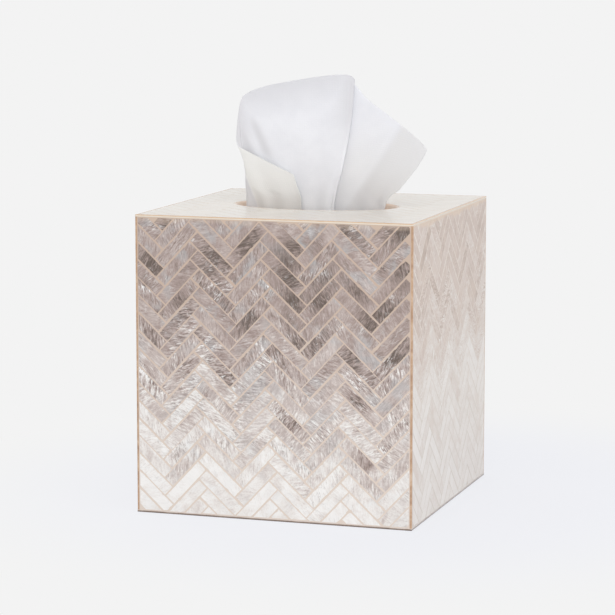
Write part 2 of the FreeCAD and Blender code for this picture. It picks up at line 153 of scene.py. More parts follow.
class Sums(Wiring):
    """The same, with sums of numbers and sockets."""

    def between(self, value, low, high, steps="LINEAR"):
        """0 at the low value, 1 at the high one, and even or smooth steps between them."""
        return self.add("ShaderNodeMapRange", {"interpolation_type": steps}, {
            "Value": value, "From Min": low, "From Max": high}).outputs["Result"]

    def maths(self, operation, first, second=0.0, third=0.0, clamp=False):
        """One sum of two or three numbers."""
        settings = {"operation": operation, "use_clamp": clamp}
        return self.add("ShaderNodeMath", settings, {0: first, 1: second, 2: third}).outputs[0]

    def plus(self, first, second):
        """Two numbers added."""
        return self.maths("ADD", first, second)

    def minus(self, first, second, clamp=False):
        """The first number less the second."""
        return self.maths("SUBTRACT", first, second, clamp=clamp)

    def times(self, first, second, clamp=False):
        """Two numbers multiplied."""
        return self.maths("MULTIPLY", first, second, clamp=clamp)

    def scaled(self, value, gain, start):
        """A number times a gain, counted from a start."""
        return self.maths("MULTIPLY_ADD", value, gain, start)

    def weighed(self, first, weight, second, other_weight):
        """Two numbers added, each times its own weight."""
        return self.plus(self.times(first, weight), self.times(second, other_weight))

    def swing(self, value, gain):
        """Noise about a half turned into a swing about nothing: gain times (value less a half)."""
        return self.times(self.minus(value, 0.5), gain)

    def above(self, value, edge, gain):
        """Nothing below an edge, then rising with the gain up to 1."""
        return self.times(self.minus(value, edge), gain, clamp=True)


print("calls for sums:", [name for name in vars(Sums) if not name.startswith("_")])

# %% Colours and the shader


def shown(red, green, blue):
    """A screen colour from 0 to 1 as the linear colour that a shader takes."""
    screen = np.array([red, green, blue])
    linear = np.where(screen <= 0.04045, screen / 12.92, ((screen + 0.055) / 1.055) ** 2.4)
    return (*linear.tolist(), 1.0)


class Finish(Sums):
    """A material that is put together by short calls, each returning a socket for the next."""

    def ramp(self, value, stops):
        """A colour read off a row of (position, colour) stops."""
        node = self.add("ShaderNodeValToRGB", {}, {"Fac": value})
        elements = node.color_ramp.elements
        while len(elements) < len(stops):
            elements.new(1.0)
        for element, (position, colour) in zip(elements, stops):
            element.position = position
            element.color = colour
        return node.outputs["Color"]

    def blend(self, share, first, second):
        """The first colour where the share is 0 and the second where it is 1."""
        node = self.add("ShaderNodeMix", {"data_type": "RGBA"}, {0: share, 6: first, 7: second})
        return node.outputs[2]

    def bump(self, height, strength, distance):
        """A normal that leans as if the surface rose by the height times the distance."""
        values = {"Height": height, "Strength": strength, "Distance": distance}
        return self.add("ShaderNodeBump", {}, values).outputs["Normal"]

    def surface(self, values):
        """Fill sockets of the shader."""
        for name, value in values.items():
            self.feed(self.shader.inputs[name], value)
        return self.material


print("calls for colours:", [name for name in vars(Finish) if not name.startswith("_")])

# %% [markdown]
# ## Floor, surround and lamps
#
# The stage is a pale sweep with no horizon, with soft light from all round. A curved paper sweep could be
# modelled, but a flat floor is enough: near the box the camera sees mostly an even tone with a painted bluish
# shadow tint, and a small share of a real white surface that takes the soft shadow; further out it sees one
# even pale tone, which hides where the floor ends. The lamps stay out of the reflections, because their
# square images on the polished faces would be brighter than the surround.

# %% Finish the floor
SWEEP = shown(0.953, 0.953, 0.953)
FLOOR_WHITE = shown(0.955, 0.962, 0.985)
# The patch of floor that shows the real shadow: its painted bluish shadow tint at the middle, the shift that
# brings its middle to the origin, the radii in metres between which it ends, and the share of even tone
# inside it
SHADOW_TINT = shown(0.947, 0.950, 0.966)
SHADOW_SHIFT = (-0.04, -0.02, 0.0)
SHADOW_NEAR = 0.10
SHADOW_FAR = 0.26
SHADOW_LIGHTEST = 0.84


def seen_directly(tree):
    """1 for rays from the camera, from glossy surfaces and through clear ones, else 0."""
    path = tree.nodes.new("ShaderNodeLightPath")
    total = path.outputs["Is Camera Ray"]
    for name in ("Is Glossy Ray", "Is Transmission Ray"):
        either = tree.nodes.new("ShaderNodeMath")
        either.operation = "MAXIMUM"
        tree.links.new(total, either.inputs[0])
        tree.links.new(path.outputs[name], either.inputs[1])
        total = either.outputs[0]
    return total


floor_finish = Finish("pale_floor")
floor_spot = floor_finish.add("ShaderNodeMapping", {}, {
    "Vector": floor_finish.place(), "Location": SHADOW_SHIFT}).outputs["Vector"]
floor_radius = floor_finish.add("ShaderNodeVectorMath", {"operation": "LENGTH"}, {
    0: floor_spot}).outputs["Value"]
floor_away = floor_finish.between(floor_radius, SHADOW_NEAR, SHADOW_FAR, "SMOOTHSTEP")
floor_share = floor_finish.scaled(floor_away, 1 - SHADOW_LIGHTEST, SHADOW_LIGHTEST)
floor_share = floor_finish.times(floor_share, seen_directly(floor_finish.tree))
floor_finish.surface({"Base Color": FLOOR_WHITE, "Roughness": 0.9, "Specular IOR Level": 0.0})
# The even tone is a painted shadow tint near the box that fades to the sweep's tone further out
floor_tone = floor_finish.ramp(floor_away, [(0.0, SHADOW_TINT), (1.0, SWEEP)])
even_tone = floor_finish.add("ShaderNodeEmission", {}, {"Color": floor_tone})
floor_mix = floor_finish.add("ShaderNodeMixShader", {}, {
    0: floor_share, 1: floor_finish.shader.outputs[0], 2: even_tone.outputs[0]})
floor_finish.feed(floor_finish.tree.nodes["Material Output"].inputs["Surface"], floor_mix.outputs[0])
print("the floor shows the real shadow within", SHADOW_FAR, "m")

# %% Lay the floor
# Reach of the floor each way, and how far below the box it lies, in metres
FLOOR_HALF = 9.0
FLOOR_DROP = 0.0002

floor_mesh = bpy.data.meshes.new("floor")
floor_corners = np.array([(-1, -1), (1, -1), (1, 1), (-1, 1)]) * FLOOR_HALF
floor_mesh.from_pydata([(x, y, -FLOOR_DROP) for x, y in floor_corners.tolist()], [], [(0, 1, 2, 3)])
floor_mesh.materials.append(floor_finish.material)
floor = bpy.data.objects.new("floor", floor_mesh)
bpy.context.scene.collection.objects.link(floor)
print("floor reaches", FLOOR_HALF, "m each way")

# %% Light the stage
AMBIENT = 0.51

surround = bpy.data.worlds.new("pale_surround")
surround.use_nodes = True
bpy.context.scene.world = surround
sky = surround.node_tree.nodes["Background"]
sky.inputs["Color"].default_value = SWEEP
sky_level = surround.node_tree.nodes.new("ShaderNodeMapRange")
sky_level.inputs["To Min"].default_value = AMBIENT
sky_level.inputs["To Max"].default_value = 1.0
surround.node_tree.links.new(seen_directly(surround.node_tree), sky_level.inputs["Value"])
surround.node_tree.links.new(sky_level.outputs["Result"], sky.inputs["Strength"])

# Place, target, width and watts of each soft lamp
LAMPS = {
    "overhead_softbox": ((-0.10, -0.40, 1.25), (0.0, 0.0, 0.10), 1.4, 5.0),
    "front_softbox": ((0.42, -1.42, 0.42), (0.0, 0.0, 0.12), 0.6, 4.8),
    "right_softbox": ((1.10, -0.60, 0.40), (0.0, 0.0, 0.08), 0.8, 3.7),
    "back_softbox": ((-0.50, 1.20, 1.10), (0.0, 0.0, 0.10), 2.0, 6.5),
}
for name, (place, target, width, watts) in LAMPS.items():
    lamp = bpy.data.objects.new(name, bpy.data.lights.new(name, "AREA"))
    lamp.data.size = width
    lamp.data.energy = watts
    lamp.visible_glossy = False
    aim(lamp, Vector(place), Vector(target))
    bpy.context.scene.collection.objects.link(lamp)
print("lamps:", len(LAMPS), "and a surround at", AMBIENT)

# %% [markdown]
# ## Where each slip of shell lies
#
# A herringbone is one pair of slips repeated: a rising slip, and a falling one that starts at its upper
# end. Measured along the two slanting directions the pair repeats at (long, long) and at (wide, -wide).
# Instead of drawing slips one by one, the sums below run the other way: for any point of a face they give
# the slip that the point lies in, and how far along and across it. That works for whole arrays of points at
# once.

# %% Sizes of the pattern and the faces
# In mm: a slip with its joint, and where the pattern starts, from the middle and the lower edge of a face
TILE_LONG = 25.5
TILE_WIDE = 6.35
PATTERN_SIDE = -19.5
PATTERN_RISE = 9.2
RISING_ANGLE = math.radians(47.1)
# Each face as rows of unit vectors: across it, up it and out of it
FACES = {
    "front": np.array([(1, 0, 0), (0, 0, 1), (0, -1, 0)], float),
    "right": np.array([(0, 1, 0), (0, 0, 1), (1, 0, 0)], float),
    "back": np.array([(-1, 0, 0), (0, 0, 1), (0, 1, 0)], float),
    "left": np.array([(0, -1, 0), (0, 0, 1), (-1, 0, 0)], float),
    "top": np.array([(1, 0, 0), (0, 1, 0), (0, 0, 1)], float),
}


def field_low(face):
    """Lower edge of a face's tiled field in mm: just above the bottom strip, or on the top its front edge."""
    low = np.array(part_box(f"{face}_grout")[0]) / MM
    return float((FACES[face] @ low)[1])


print("lower edges in mm:", {face: round(field_low(face), 2) for face in FACES})

# %% The herringbone sums


def slip_of(across, up, low):
    """Column, row, kind, and distances along and across, of the slip under each point of a face.

    The point is turned into lengths along the rising and the falling direction. Their sum picks the column,
    and what is left over picks the row. Where that fails for a rising slip, the point is in a falling one.
    """
    side = across - PATTERN_SIDE
    height = up - low - PATTERN_RISE
    rise = side * math.cos(RISING_ANGLE) + height * math.sin(RISING_ANGLE)
    fall = side * math.sin(RISING_ANGLE) - height * math.cos(RISING_ANGLE)
    column = np.floor((rise + fall) / (2 * TILE_LONG))
    row = -np.floor((fall - column * TILE_LONG) / TILE_WIDE)
    along = rise - column * TILE_LONG - row * TILE_WIDE
    beside = fall - column * TILE_LONG + row * TILE_WIDE
    rising = (along >= 0) & (along <= TILE_LONG)
    column_f = np.floor((rise + fall - TILE_LONG) / (2 * TILE_LONG))
    row_f = np.floor((rise - (column_f + 1) * TILE_LONG) / TILE_WIDE)
    along_f = fall - column_f * TILE_LONG + row_f * TILE_WIDE
    beside_f = rise - (column_f + 1) * TILE_LONG - row_f * TILE_WIDE
    slip = np.stack([np.where(rising, column, column_f), np.where(rising, row, row_f),
                     np.where(rising, 0, 1)], axis=-1).astype(int)
    return slip, np.where(rising, along, along_f), np.where(rising, beside, beside_f)


def slip_middle(slip, low):
    """Middle of each slip on its face: the lattice corner plus half a length and half a width."""
    column, row, kind = slip[..., 0], slip[..., 1], slip[..., 2]
    rise = column * TILE_LONG + row * TILE_WIDE
    rise = rise + np.where(kind == 0, TILE_LONG / 2, TILE_LONG + TILE_WIDE / 2)
    fall = column * TILE_LONG - row * TILE_WIDE + np.where(kind == 0, TILE_WIDE / 2, TILE_LONG / 2)
    across = PATTERN_SIDE + rise * math.cos(RISING_ANGLE) + fall * math.sin(RISING_ANGLE)
    up = low + PATTERN_RISE + rise * math.sin(RISING_ANGLE) - fall * math.cos(RISING_ANGLE)
    return across, up


print("a slip is", TILE_LONG, "by", TILE_WIDE, "mm with its joint")

# %% [markdown]
# ## How light or smoky each slip is
#
# On the real cover the front runs from smoky grey-mauve at the top to pearl white at the foot. The change
# is ragged, because each slip was picked by hand, and it sits lower on the right than on the left. A shader
# alone could fade the colour by height, but then slips would be cut by the fade. So every slip gets one
# tone from the height of its middle, with a chance part, and the darkest slips of the front are listed.

# %% Numbers for the tones
# The kind of shell on each face; the paler sides are partly their own shell and partly painted reflection
# of the gloss at a glancing view
KINDS = {"front": "smoky", "right": "pale", "back": "smoky", "left": "pale", "top": "cream"}
# For each kind: lightness at the top and foot of the field, height of the change in mm, its width, its slope
# across the face, and how strongly the slips differ
FADES = {
    "smoky": (0.46, 0.94, 59.0, 108.0, -0.16, 0.05),
    # The sides' paler tones hold painted reflection as well as their own colour
    "pale": (0.34, 0.81, 79.0, 60.0, 0.0, 0.075),
    "cream": (0.60, 0.60, 0.0, 50.0, 0.0, 0.08),
}
# Streakiness: its width about the change in mm, its strength there, above it and everywhere, and the least
# value, span and power of its chance part
STREAK_WIDTH = 34.0
STREAK_THERE = 0.75
STREAK_ABOVE = 0.5
STREAK_LEAST = 0.15
STREAK_CHANCE = (0.55, 0.95, 1.5)
# Smoke by chance: the share of slips that have it, its range, how far its heart may lie from the slip's
# middle in cm, and what is left of it on the paler faces
SMOKE_SHARE = 0.25
SMOKE_RANGE = (0.4, 1.0)
HEART_REACH = 0.8
PALE_SMOKE = 0.12
# Smoky slips of the front: a point across from the middle and up from the floor in mm, and how dark it is
SMOKY = [
    (-13.1, 135.1, 1.0), (-60.6, 124.4, 0.9), (-28.4, 127.5, 0.75), (11.0, 132.9, 0.75), (8.5, 120.0, 0.8),
    (11.5, 108.0, 0.85), (25.6, 117.5, 0.5), (25.5, 108.5, 0.9), (42.0, 115.5, 0.5), (48.5, 100.5, 0.8),
    (55.5, 103.5, 0.75), (64.0, 123.0, 0.6), (61.5, 83.0, 1.0), (-46.5, 107.5, 0.6), (-60.0, 87.5, 0.6),
    (-12.0, 97.0, 0.9), (-32.0, 121.0, 0.5), (6.0, 128.0, 0.45), (-22.0, 69.0, 0.65), (13.0, 90.0, 0.6),
    (1.0, 83.0, 0.5), (38.0, 83.0, 0.55), (42.5, 75.0, 0.55), (43.0, 62.0, 0.8), (10.5, 47.5, 0.75),
    (46.5, 33.0, 0.7), (-42.0, 47.0, 0.45), (-54.0, 143.0, 0.6), (23.0, 88.0, 0.5), (-43.0, 73.0, 0.45),
    (65.0, 143.0, 0.9), (58.2, 141.4, 0.55), (62.1, 135.4, 0.5), (59.7, 121.1, 0.5), (36.5, 143.0, 0.4),
]
print("smoky slips named on the front:", len(SMOKY))

# %% Tones of the slips


def eased(value, start, end):
    """0 up to the start, 1 from the end on, and a smooth step between them."""
    share = np.clip((value - start) / (end - start), 0, 1)
    return share * share * (3 - 2 * share)


def slip_tones(kind, across, up, seed):
    """Lightness, smokiness, its place along the slip, and streakiness of each slip, from its middle.

    Lightness takes a smooth step down the face, plus a chance part. Streaks are a bell curve about the
    change, and smoke comes by chance and dies out towards the foot.
    """
    top, foot, change, width, slope, spread = FADES[kind]
    chance = np.random.default_rng(seed)
    count = len(across)
    below = change + slope * across - up
    share = eased(below, -width / 2, width / 2)
    tone = top + (foot - top) * share + chance.normal(0, spread, count)
    streak = STREAK_THERE * np.exp(-(below / STREAK_WIDTH) ** 2) + STREAK_ABOVE * (1 - share) + STREAK_LEAST
    least, span, power = STREAK_CHANCE
    streak = streak * (least + span * chance.random(count) ** power)
    smoky = chance.random(count) < SMOKE_SHARE
    smoke = np.where(smoky, chance.uniform(*SMOKE_RANGE, count), 0) * (1 - share)
    spot = chance.uniform(-HEART_REACH, HEART_REACH, count)
    if kind != "smoky":
        smoke = smoke * PALE_SMOKE
    return {"tone": tone, "smoke": smoke, "spot": spot, "streak": streak}


print("lightness at the top and the foot:", {kind: fade[:2] for kind, fade in FADES.items()})

# %% [markdown]
# ## Laying the slips
#
# The packed model already has every slip cut to its field, also round the oval slot, so its points are
# reused. They arrive as loose triangles: points that fall on each other are welded first. Then each slip is
# nudged and resized by a hair, because hand-cut shell never fills its place exactly, and the numbers for
# the finish are written on its faces. Two UV maps go with them: one straight along the slip, one along its
# fibres.

# %% Make pieces and mark them
WELD_DIGITS = 3


def corner_points(mesh):
    """The number of the point at each corner of each face."""
    corners = np.empty(len(mesh.loops), int)
    mesh.loops.foreach_get("vertex_index", corners)
    return corners


def welded(node):
    """Points in mm and triangles of a CAD node, with points that agree to a micrometre joined into one."""
    mesh = nodes[node].data
    flat = np.empty(len(mesh.vertices) * 3)
    mesh.vertices.foreach_get("co", flat)
    points = flat.reshape(-1, 3) / MM
    rounded = np.round(points, WELD_DIGITS)
    _, first, same = np.unique(rounded, axis=0, return_index=True, return_inverse=True)
    return points[first], same.reshape(-1)[corner_points(mesh)].reshape(-1, 3)


def new_piece(name, points, faces, material, body):
    """A piece from points in mm and a list of faces, with its finish and its body."""
    mesh = bpy.data.meshes.new(name)
    mesh.from_pydata((points * MM).tolist(), [], faces)
    mesh.materials.append(material)
    piece = bpy.data.objects.new(name, mesh)
    bpy.context.scene.collection.objects.link(piece)
    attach(piece, body)
    return piece


def write_numbers(mesh, name, values, domain="FACE"):
    """One number per face or point, under a name that a finish can read."""
    mesh.attributes.new(name, "FLOAT", domain).data.foreach_set("value", values)


def write_map(mesh, name, across, up):
    """A UV map from one pair of numbers per face corner."""
    flat = np.stack([across, up], axis=-1).reshape(-1)
    mesh.uv_layers.new(name=name).data.foreach_set("uv", flat)


print("points are welded where they agree to", WELD_DIGITS, "digits of a mm")

# %% Lay the slips
CM_PER_MM = 0.1
# Chance shift and growth of a slip, and the seed that is added for them
NUDGE_MM = 0.10
RESIZE_SHARE = 0.010
LAYING_SEED = 50
# Lean of the fibres to the slip, how far it varies, and how far apart in cm slips may lie in the fibre noise
FIBRE_ANGLE = math.radians(48)
FIBRE_SPREAD = math.radians(22)
FIBRE_START = 60.0
# What is left of the chance smoke on a face whose smoky slips are named
UNNAMED_SMOKE = 0.35


def turned(across, up, angle):
    """Lengths along a direction at an angle, and square to it."""
    return across * np.cos(angle) + up * np.sin(angle), up * np.cos(angle) - across * np.sin(angle)


def named_smoke(slips, low, tones):
    """Smoke and its place: from the list for slips that hold a named point, else weaker smoke."""
    named = np.array(SMOKY)
    found, along, _ = slip_of(named[:, 0], named[:, 1], low)
    match = (slips[:, None, :] == found[None, :, :]).all(axis=-1)
    holds = match.any(axis=1)
    smoke = np.where(holds, (match * named[:, 2]).max(axis=1), tones["smoke"] * UNNAMED_SMOKE)
    spot = (match * (along - TILE_LONG / 2)).sum(axis=1) * CM_PER_MM
    return {"smoke": smoke, "spot": np.where(holds, spot, tones["spot"])}


def lay_slips(face, seed, material):
    """All slips of one face as one piece: weld, find each triangle's slip, nudge, then mark."""
    axes = FACES[face]
    low = field_low(face)
    points, triangles = welded(f"{face}_tiles")
    local = points @ axes.T
    centre = local[triangles].mean(axis=1)
    found, _, _ = slip_of(centre[:, 0], centre[:, 1], low)
    slips, index = np.unique(found, axis=0, return_inverse=True)
    index = index.reshape(-1)
    middle = np.stack(slip_middle(slips, low), axis=-1)
    tones = slip_tones(KINDS[face], middle[:, 0], middle[:, 1], seed)
    if face == "front":
        tones.update(named_smoke(slips, low, tones))
    chance = np.random.default_rng(seed + LAYING_SEED)
    corners = triangles.reshape(-1)
    corner_slip = np.repeat(index, 3)
    owner = np.zeros(len(points), int)
    owner[corners] = corner_slip
    grow = chance.normal(0, RESIZE_SHARE, len(slips))[owner, None]
    nudge = chance.normal(0, NUDGE_MM, (len(slips), 2))[owner]
    laid = local.copy()
    laid[:, :2] += (local[:, :2] - middle[owner]) * grow + nudge
    piece = new_piece(f"{face}_shell", laid @ axes, triangles.tolist(), material, "cover")
    for name, values in tones.items():
        write_numbers(piece.data, name, values[index])
    turn = np.where(slips[:, 2] == 0, RISING_ANGLE, RISING_ANGLE - math.pi / 2)[corner_slip]
    off = (local[corners, :2] - middle[corner_slip]) * CM_PER_MM
    along, beside = turned(off[:, 0], off[:, 1], turn)
    write_map(piece.data, "slip", along, beside)
    lean = chance.normal(FIBRE_ANGLE, FIBRE_SPREAD, len(slips)) * chance.choice([-1, 1], len(slips))
    start = chance.uniform(0, FIBRE_START, (len(slips), 2))[corner_slip]
    along, beside = turned(along, beside, lean[corner_slip])
    write_map(piece.data, "fibre", along + start[:, 0], beside + start[:, 1])
    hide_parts(f"{face}_tiles")
    return piece


print("slips are nudged by about", NUDGE_MM, "mm")

# %% [markdown]
# ## Grout and shell finishes
#
# Peach grout fills the joints and is rubbed flush. Thin shell under clear resin shows three things at once:
# a clouded pearly body, fine pale fibres with painted glints in bright clusters, and a mirror-smooth top
# coat. The body colour is read off a ramp at the slip's tone. Fibres are noise stretched along the fibre map.
# Smoky slips have a dark heart and a few pale veins. Shell breaks unevenly, so near a slip's edge the grout
# creeps in by a chance amount, and its colour has to be the same sum in both finishes. The faces share one
# recipe with their own colours: smoky ones at the front and back, paler ones at the sides, cream at the top.
# The sides' paler, calmer colours are partly their own shell and partly painted reflection of the gloss that
# a glancing view shows.

# %% Colours of the faces
# For each kind of face: how strong its fibres are, how strongly varnish stains its upper edge, weights of the
# coat and of the sheen under it, body colours by tone, the other colour of some patches, the dark of cracks,
# the white of pale fibres and of their painted glints, and grout by height
LOOKS = {
    "smoky": {
        "contrast": 1.0, "stain": 0.35, "coat": 1.0, "sheen": 0.5,
        "body": [(0.00, shown(0.36, 0.295, 0.255)), (0.20, shown(0.495, 0.425, 0.39)),
                 (0.45, shown(0.664, 0.588, 0.558)), (0.70, shown(0.798, 0.743, 0.716)),
                 (0.88, shown(0.93, 0.908, 0.885)), (1.00, shown(0.97, 0.96, 0.945))],
        "patch": shown(0.72, 0.72, 0.724), "crack": shown(0.45, 0.39, 0.36),
        "hair": shown(0.96, 0.95, 0.94),
        "joint": [(0.15, shown(0.885, 0.828, 0.775)), (0.45, shown(0.845, 0.775, 0.715)),
                  (0.75, shown(0.78, 0.69, 0.618))],
    },
    # Paler sides: partly their own shell, partly painted reflection of the gloss at a glancing view
    "pale": {
        "contrast": 0.9, "stain": 1.0, "coat": 0.5, "sheen": 0.2,
        "body": [(0.00, shown(0.68, 0.585, 0.515)), (0.36, shown(0.822, 0.745, 0.698)),
                 (0.60, shown(0.885, 0.845, 0.812)), (0.80, shown(0.925, 0.90, 0.875)),
                 (1.00, shown(0.95, 0.93, 0.91))],
        "patch": shown(0.835, 0.758, 0.70), "crack": shown(0.77, 0.70, 0.64),
        "hair": shown(0.94, 0.925, 0.905),
        "joint": [(0.30, shown(0.862, 0.825, 0.785)), (0.62, shown(0.885, 0.838, 0.797)),
                  (0.85, shown(0.895, 0.85, 0.81))],
    },
    "cream": {
        "contrast": 0.3, "stain": 0.0, "coat": 0.45, "sheen": 0.15,
        "body": [(0.00, shown(0.85, 0.81, 0.765)), (0.50, shown(0.922, 0.90, 0.87)),
                 (1.00, shown(0.962, 0.946, 0.923))],
        "patch": shown(0.925, 0.908, 0.888), "crack": shown(0.87, 0.83, 0.785),
        "hair": shown(0.96, 0.95, 0.935),
        "joint": [(0.30, shown(0.90, 0.858, 0.81)), (0.80, shown(0.90, 0.858, 0.81))],
    },
}
print("looks:", list(LOOKS))

# %% Mix the grout
COVER_HIGH = float(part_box("front_top_strip")[1][2])
# Stain of the varnish: its colour, the share of the cover's height where it starts, the share over which it
# comes in, how strong it gets, and the scale and reach of the noise that makes its tongues
STAIN = shown(0.88, 0.785, 0.69)
STAIN_LOW = 0.976
STAIN_SOFT = 0.010
STAIN_SHARE = 0.7
STAIN_SCALE = 75.0
STAIN_RAGGED = 0.05
# Scale of the noise in the grout's colour, how far it moves the colour, and the scale of the fine grain
JOINT_SCALE = 160.0
JOINT_CHANCE = 0.35
GROUT_GRAIN = 900.0


def ragged_rise(finish, spot, scale, detail, gain):
    """Height as a share of the cover's, moved up and down by noise."""
    rise = finish.maths("DIVIDE", finish.part(spot, "Z"), COVER_HIGH)
    return finish.plus(rise, finish.swing(finish.noise(spot, scale, detail=detail), gain))


def stained(finish, spot, colour, amount):
    """A colour with tan varnish run into it in tongues along the upper edge of a face."""
    rise = ragged_rise(finish, spot, STAIN_SCALE, 3.0, STAIN_RAGGED)
    share = finish.times(finish.above(rise, STAIN_LOW, 1 / STAIN_SOFT), amount * STAIN_SHARE)
    return finish.blend(share, colour, STAIN)


def joint_colour(finish, spot, stops):
    """Colour of the grout: read off its stops at the height, with a small chance part."""
    return finish.ramp(ragged_rise(finish, spot, JOINT_SCALE, 4.0, JOINT_CHANCE), stops)


def mix_grout(name, look):
    """Grout alone, for the panels behind the slips."""
    finish = Finish(name)
    spot = finish.place()
    grain = finish.noise(spot, GROUT_GRAIN, detail=2.0)
    return finish.surface({
        "Base Color": stained(finish, spot, joint_colour(finish, spot, look["joint"]), look["stain"]),
        "Roughness": 0.45, "Specular IOR Level": look["sheen"],
        "Coat Weight": look["coat"], "Coat Roughness": 0.03, "Normal": finish.bump(grain, 0.15, 0.0001)})


print("varnish stains about the top", round((1 - STAIN_LOW) * COVER_HIGH / MM, 1), "mm of the sides")

# %% Where the shell ends
# In cm: where the shell ends, from the middle of a joint, the width over which it ends, and how far noise
# moves that line, with the noise's scale per metre. Corners are rounded by a smooth minimum of this width
EDGE_MARGIN = 0.020
EDGE_SOFT = 0.016
EDGE_WANDER = 0.20
EDGE_SCALE = 330.0
CORNER_ROUND = 0.05


def slip_mask(finish, spot, straight):
    """1 on the shell and 0 on the grout that creeps over its edge.

    The distance to the nearer edge comes from the straight map, with corners rounded by a smooth minimum,
    and noise moves the line to and fro.
    """
    along = finish.maths("ABSOLUTE", finish.part(straight, "X"))
    beside = finish.maths("ABSOLUTE", finish.part(straight, "Y"))
    to_end = finish.minus(TILE_LONG / 2 * CM_PER_MM, along)
    to_side = finish.minus(TILE_WIDE / 2 * CM_PER_MM, beside)
    inside = finish.maths("SMOOTH_MIN", to_end, to_side, CORNER_ROUND)
    inside = finish.plus(inside, finish.swing(finish.noise(spot, EDGE_SCALE, detail=2.0), EDGE_WANDER))
    return finish.above(inside, EDGE_MARGIN, 1 / EDGE_SOFT)


print("grout creeps in by about", EDGE_MARGIN, "cm from the middle of a joint")

# %% Numbers of the shell finish
FIBRE_STRETCH = (1.0, 4.5, 1.0)
# Scales of noise, per cm of the fibre map and then per metre of the object
CLOUD_SCALE = 1.2
FIBRE_SCALE = 2.4
STRAND_SCALE = 1.68
GRAIN_SCALE = 1100.0
PATCH_SCALE = 95.0
BROKEN_SCALE = 80.0
CRUMPLE_SCALE = 150.0
# How far noise moves the tone
CLOUD_SWING = 0.55
FIBRE_SWING = 1.5
GRAIN_SWING = 0.22
# The dark heart of a smoky slip: how its place wanders, how fast it fades along the slip, its depth, the
# depth all over the slip, and how fibres break it up
HEART_WANDER = 1.2
HEART_FADE = -2.2
HEART_DEPTH = 0.42
HEART_LEAST = 0.03
HEART_FIBRES = -3.0
# Level of the noise, and steepness, at which areas begin and on which thin lines lie
STREAKY_AREA = (0.46, 8.0)
PATCH_AREA = (0.5, 6.0)
# The shining area sets where the hair lines turn into painted glints
SHINING_AREA = (0.54, 9.0)
CRACK_LINE = (0.45, 26.0)
HAIR_LINE = (0.56, 17.0)
# Gain inside an area and strength outside it, the share of cracks, and the tone at which patches end
STREAKY_GAIN = (0.6, 0.65)
SHINING_GAIN = (0.85, 0.15)
CRACK_SHARE = 0.5
PATCH_END = 1.05
print("fibres are", round(FIBRE_STRETCH[1] * FIBRE_SCALE, 1), "to the cm")

# %% Mix the shell finishes


def line_near(finish, value, level, sharpness):
    """A thin line where noise passes through a level: 1 on the level, falling to 0 on both sides."""
    off = finish.maths("ABSOLUTE", finish.minus(value, level))
    return finish.minus(1.0, finish.times(off, sharpness), clamp=True)


def mix_shell(name, look):
    """Shell under resin, with the grout that creeps over its edges.

    The tone, less the dark heart, plus swings of clouds, fibres and grain, is read off the ramp. Patches,
    cracks and pale fibres, brightened into painted glints in clusters, are laid over that colour one after
    another, and grout last.
    """
    finish = Finish(name)
    spot = finish.place()
    fibre = finish.surface_map("fibre")
    straight = finish.surface_map("slip")
    clouds = finish.noise(fibre, CLOUD_SCALE, detail=3.0, wander=0.5)
    lying = finish.stretched(fibre, FIBRE_STRETCH)
    fibres = finish.noise(lying, FIBRE_SCALE, detail=4.0, rough=0.6, wander=0.9)
    strands = finish.noise(lying, STRAND_SCALE, detail=2.0, rough=0.5, wander=1.2)
    grain = finish.noise(spot, GRAIN_SCALE, detail=2.0)
    patches = finish.noise(spot, PATCH_SCALE, detail=2.0, wander=0.6)
    broken = finish.noise(spot, BROKEN_SCALE, detail=2.0, wander=1.0)
    crumple = finish.noise(spot, CRUMPLE_SCALE, detail=2.0, wander=0.8)
    tone = finish.given("tone")
    smoke = finish.given("smoke")
    streak = finish.scaled(finish.above(broken, *STREAKY_AREA), *STREAKY_GAIN)
    streak = finish.times(streak, finish.times(finish.given("streak"), look["contrast"]))

    heart = finish.minus(finish.part(straight, "X"), finish.given("spot"))
    heart = finish.plus(heart, finish.swing(clouds, HEART_WANDER))
    heart = finish.maths("POWER", math.e, finish.times(finish.times(heart, heart), HEART_FADE))
    shade = finish.times(smoke, finish.scaled(heart, HEART_DEPTH, HEART_LEAST))
    shade = finish.times(shade, finish.plus(1.0, finish.swing(fibres, HEART_FIBRES)))
    body = finish.minus(tone, shade)
    body = finish.plus(body, finish.swing(clouds, CLOUD_SWING * look["contrast"]))
    body = finish.plus(body, finish.times(finish.swing(fibres, FIBRE_SWING), streak))
    body = finish.plus(body, finish.swing(grain, GRAIN_SWING * look["contrast"]))
    colour = finish.ramp(body, look["body"])

    plain = finish.minus(finish.minus(PATCH_END, tone), smoke, clamp=True)
    colour = finish.blend(finish.times(finish.above(patches, *PATCH_AREA), plain), colour, look["patch"])
    cracks = finish.times(line_near(finish, strands, *CRACK_LINE), finish.times(streak, CRACK_SHARE))
    colour = finish.blend(cracks, colour, look["crack"])
    # Pale fibres, lit up as painted glints where the crumple noise passes its level
    shining = finish.scaled(finish.above(crumple, *SHINING_AREA), *SHINING_GAIN)
    hairs = finish.times(line_near(finish, strands, *HAIR_LINE), shining)
    colour = finish.blend(finish.times(hairs, streak, clamp=True), colour, look["hair"])
    joint = joint_colour(finish, spot, look["joint"])
    colour = finish.blend(slip_mask(finish, spot, straight), joint, colour)
    return finish.surface({
        "Base Color": stained(finish, spot, colour, look["stain"]),
        "Roughness": 0.42, "Specular IOR Level": look["sheen"],
        "Coat Weight": look["coat"], "Coat Roughness": 0.03, "Normal": finish.bump(fibres, 0.2, 0.0002)})


half_depth = math.sqrt(math.log(2) / -HEART_FADE)
print("a dark heart is half as deep", round(half_depth, 2), "cm from its middle")

# %% Lay the shell on every face
for seed, (face, kind) in enumerate(KINDS.items(), start=1):
    shell = lay_slips(face, seed, mix_shell(f"{kind}_shell", LOOKS[kind]))
    print(shell.name, "has", len(shell.data.polygons), "faces")

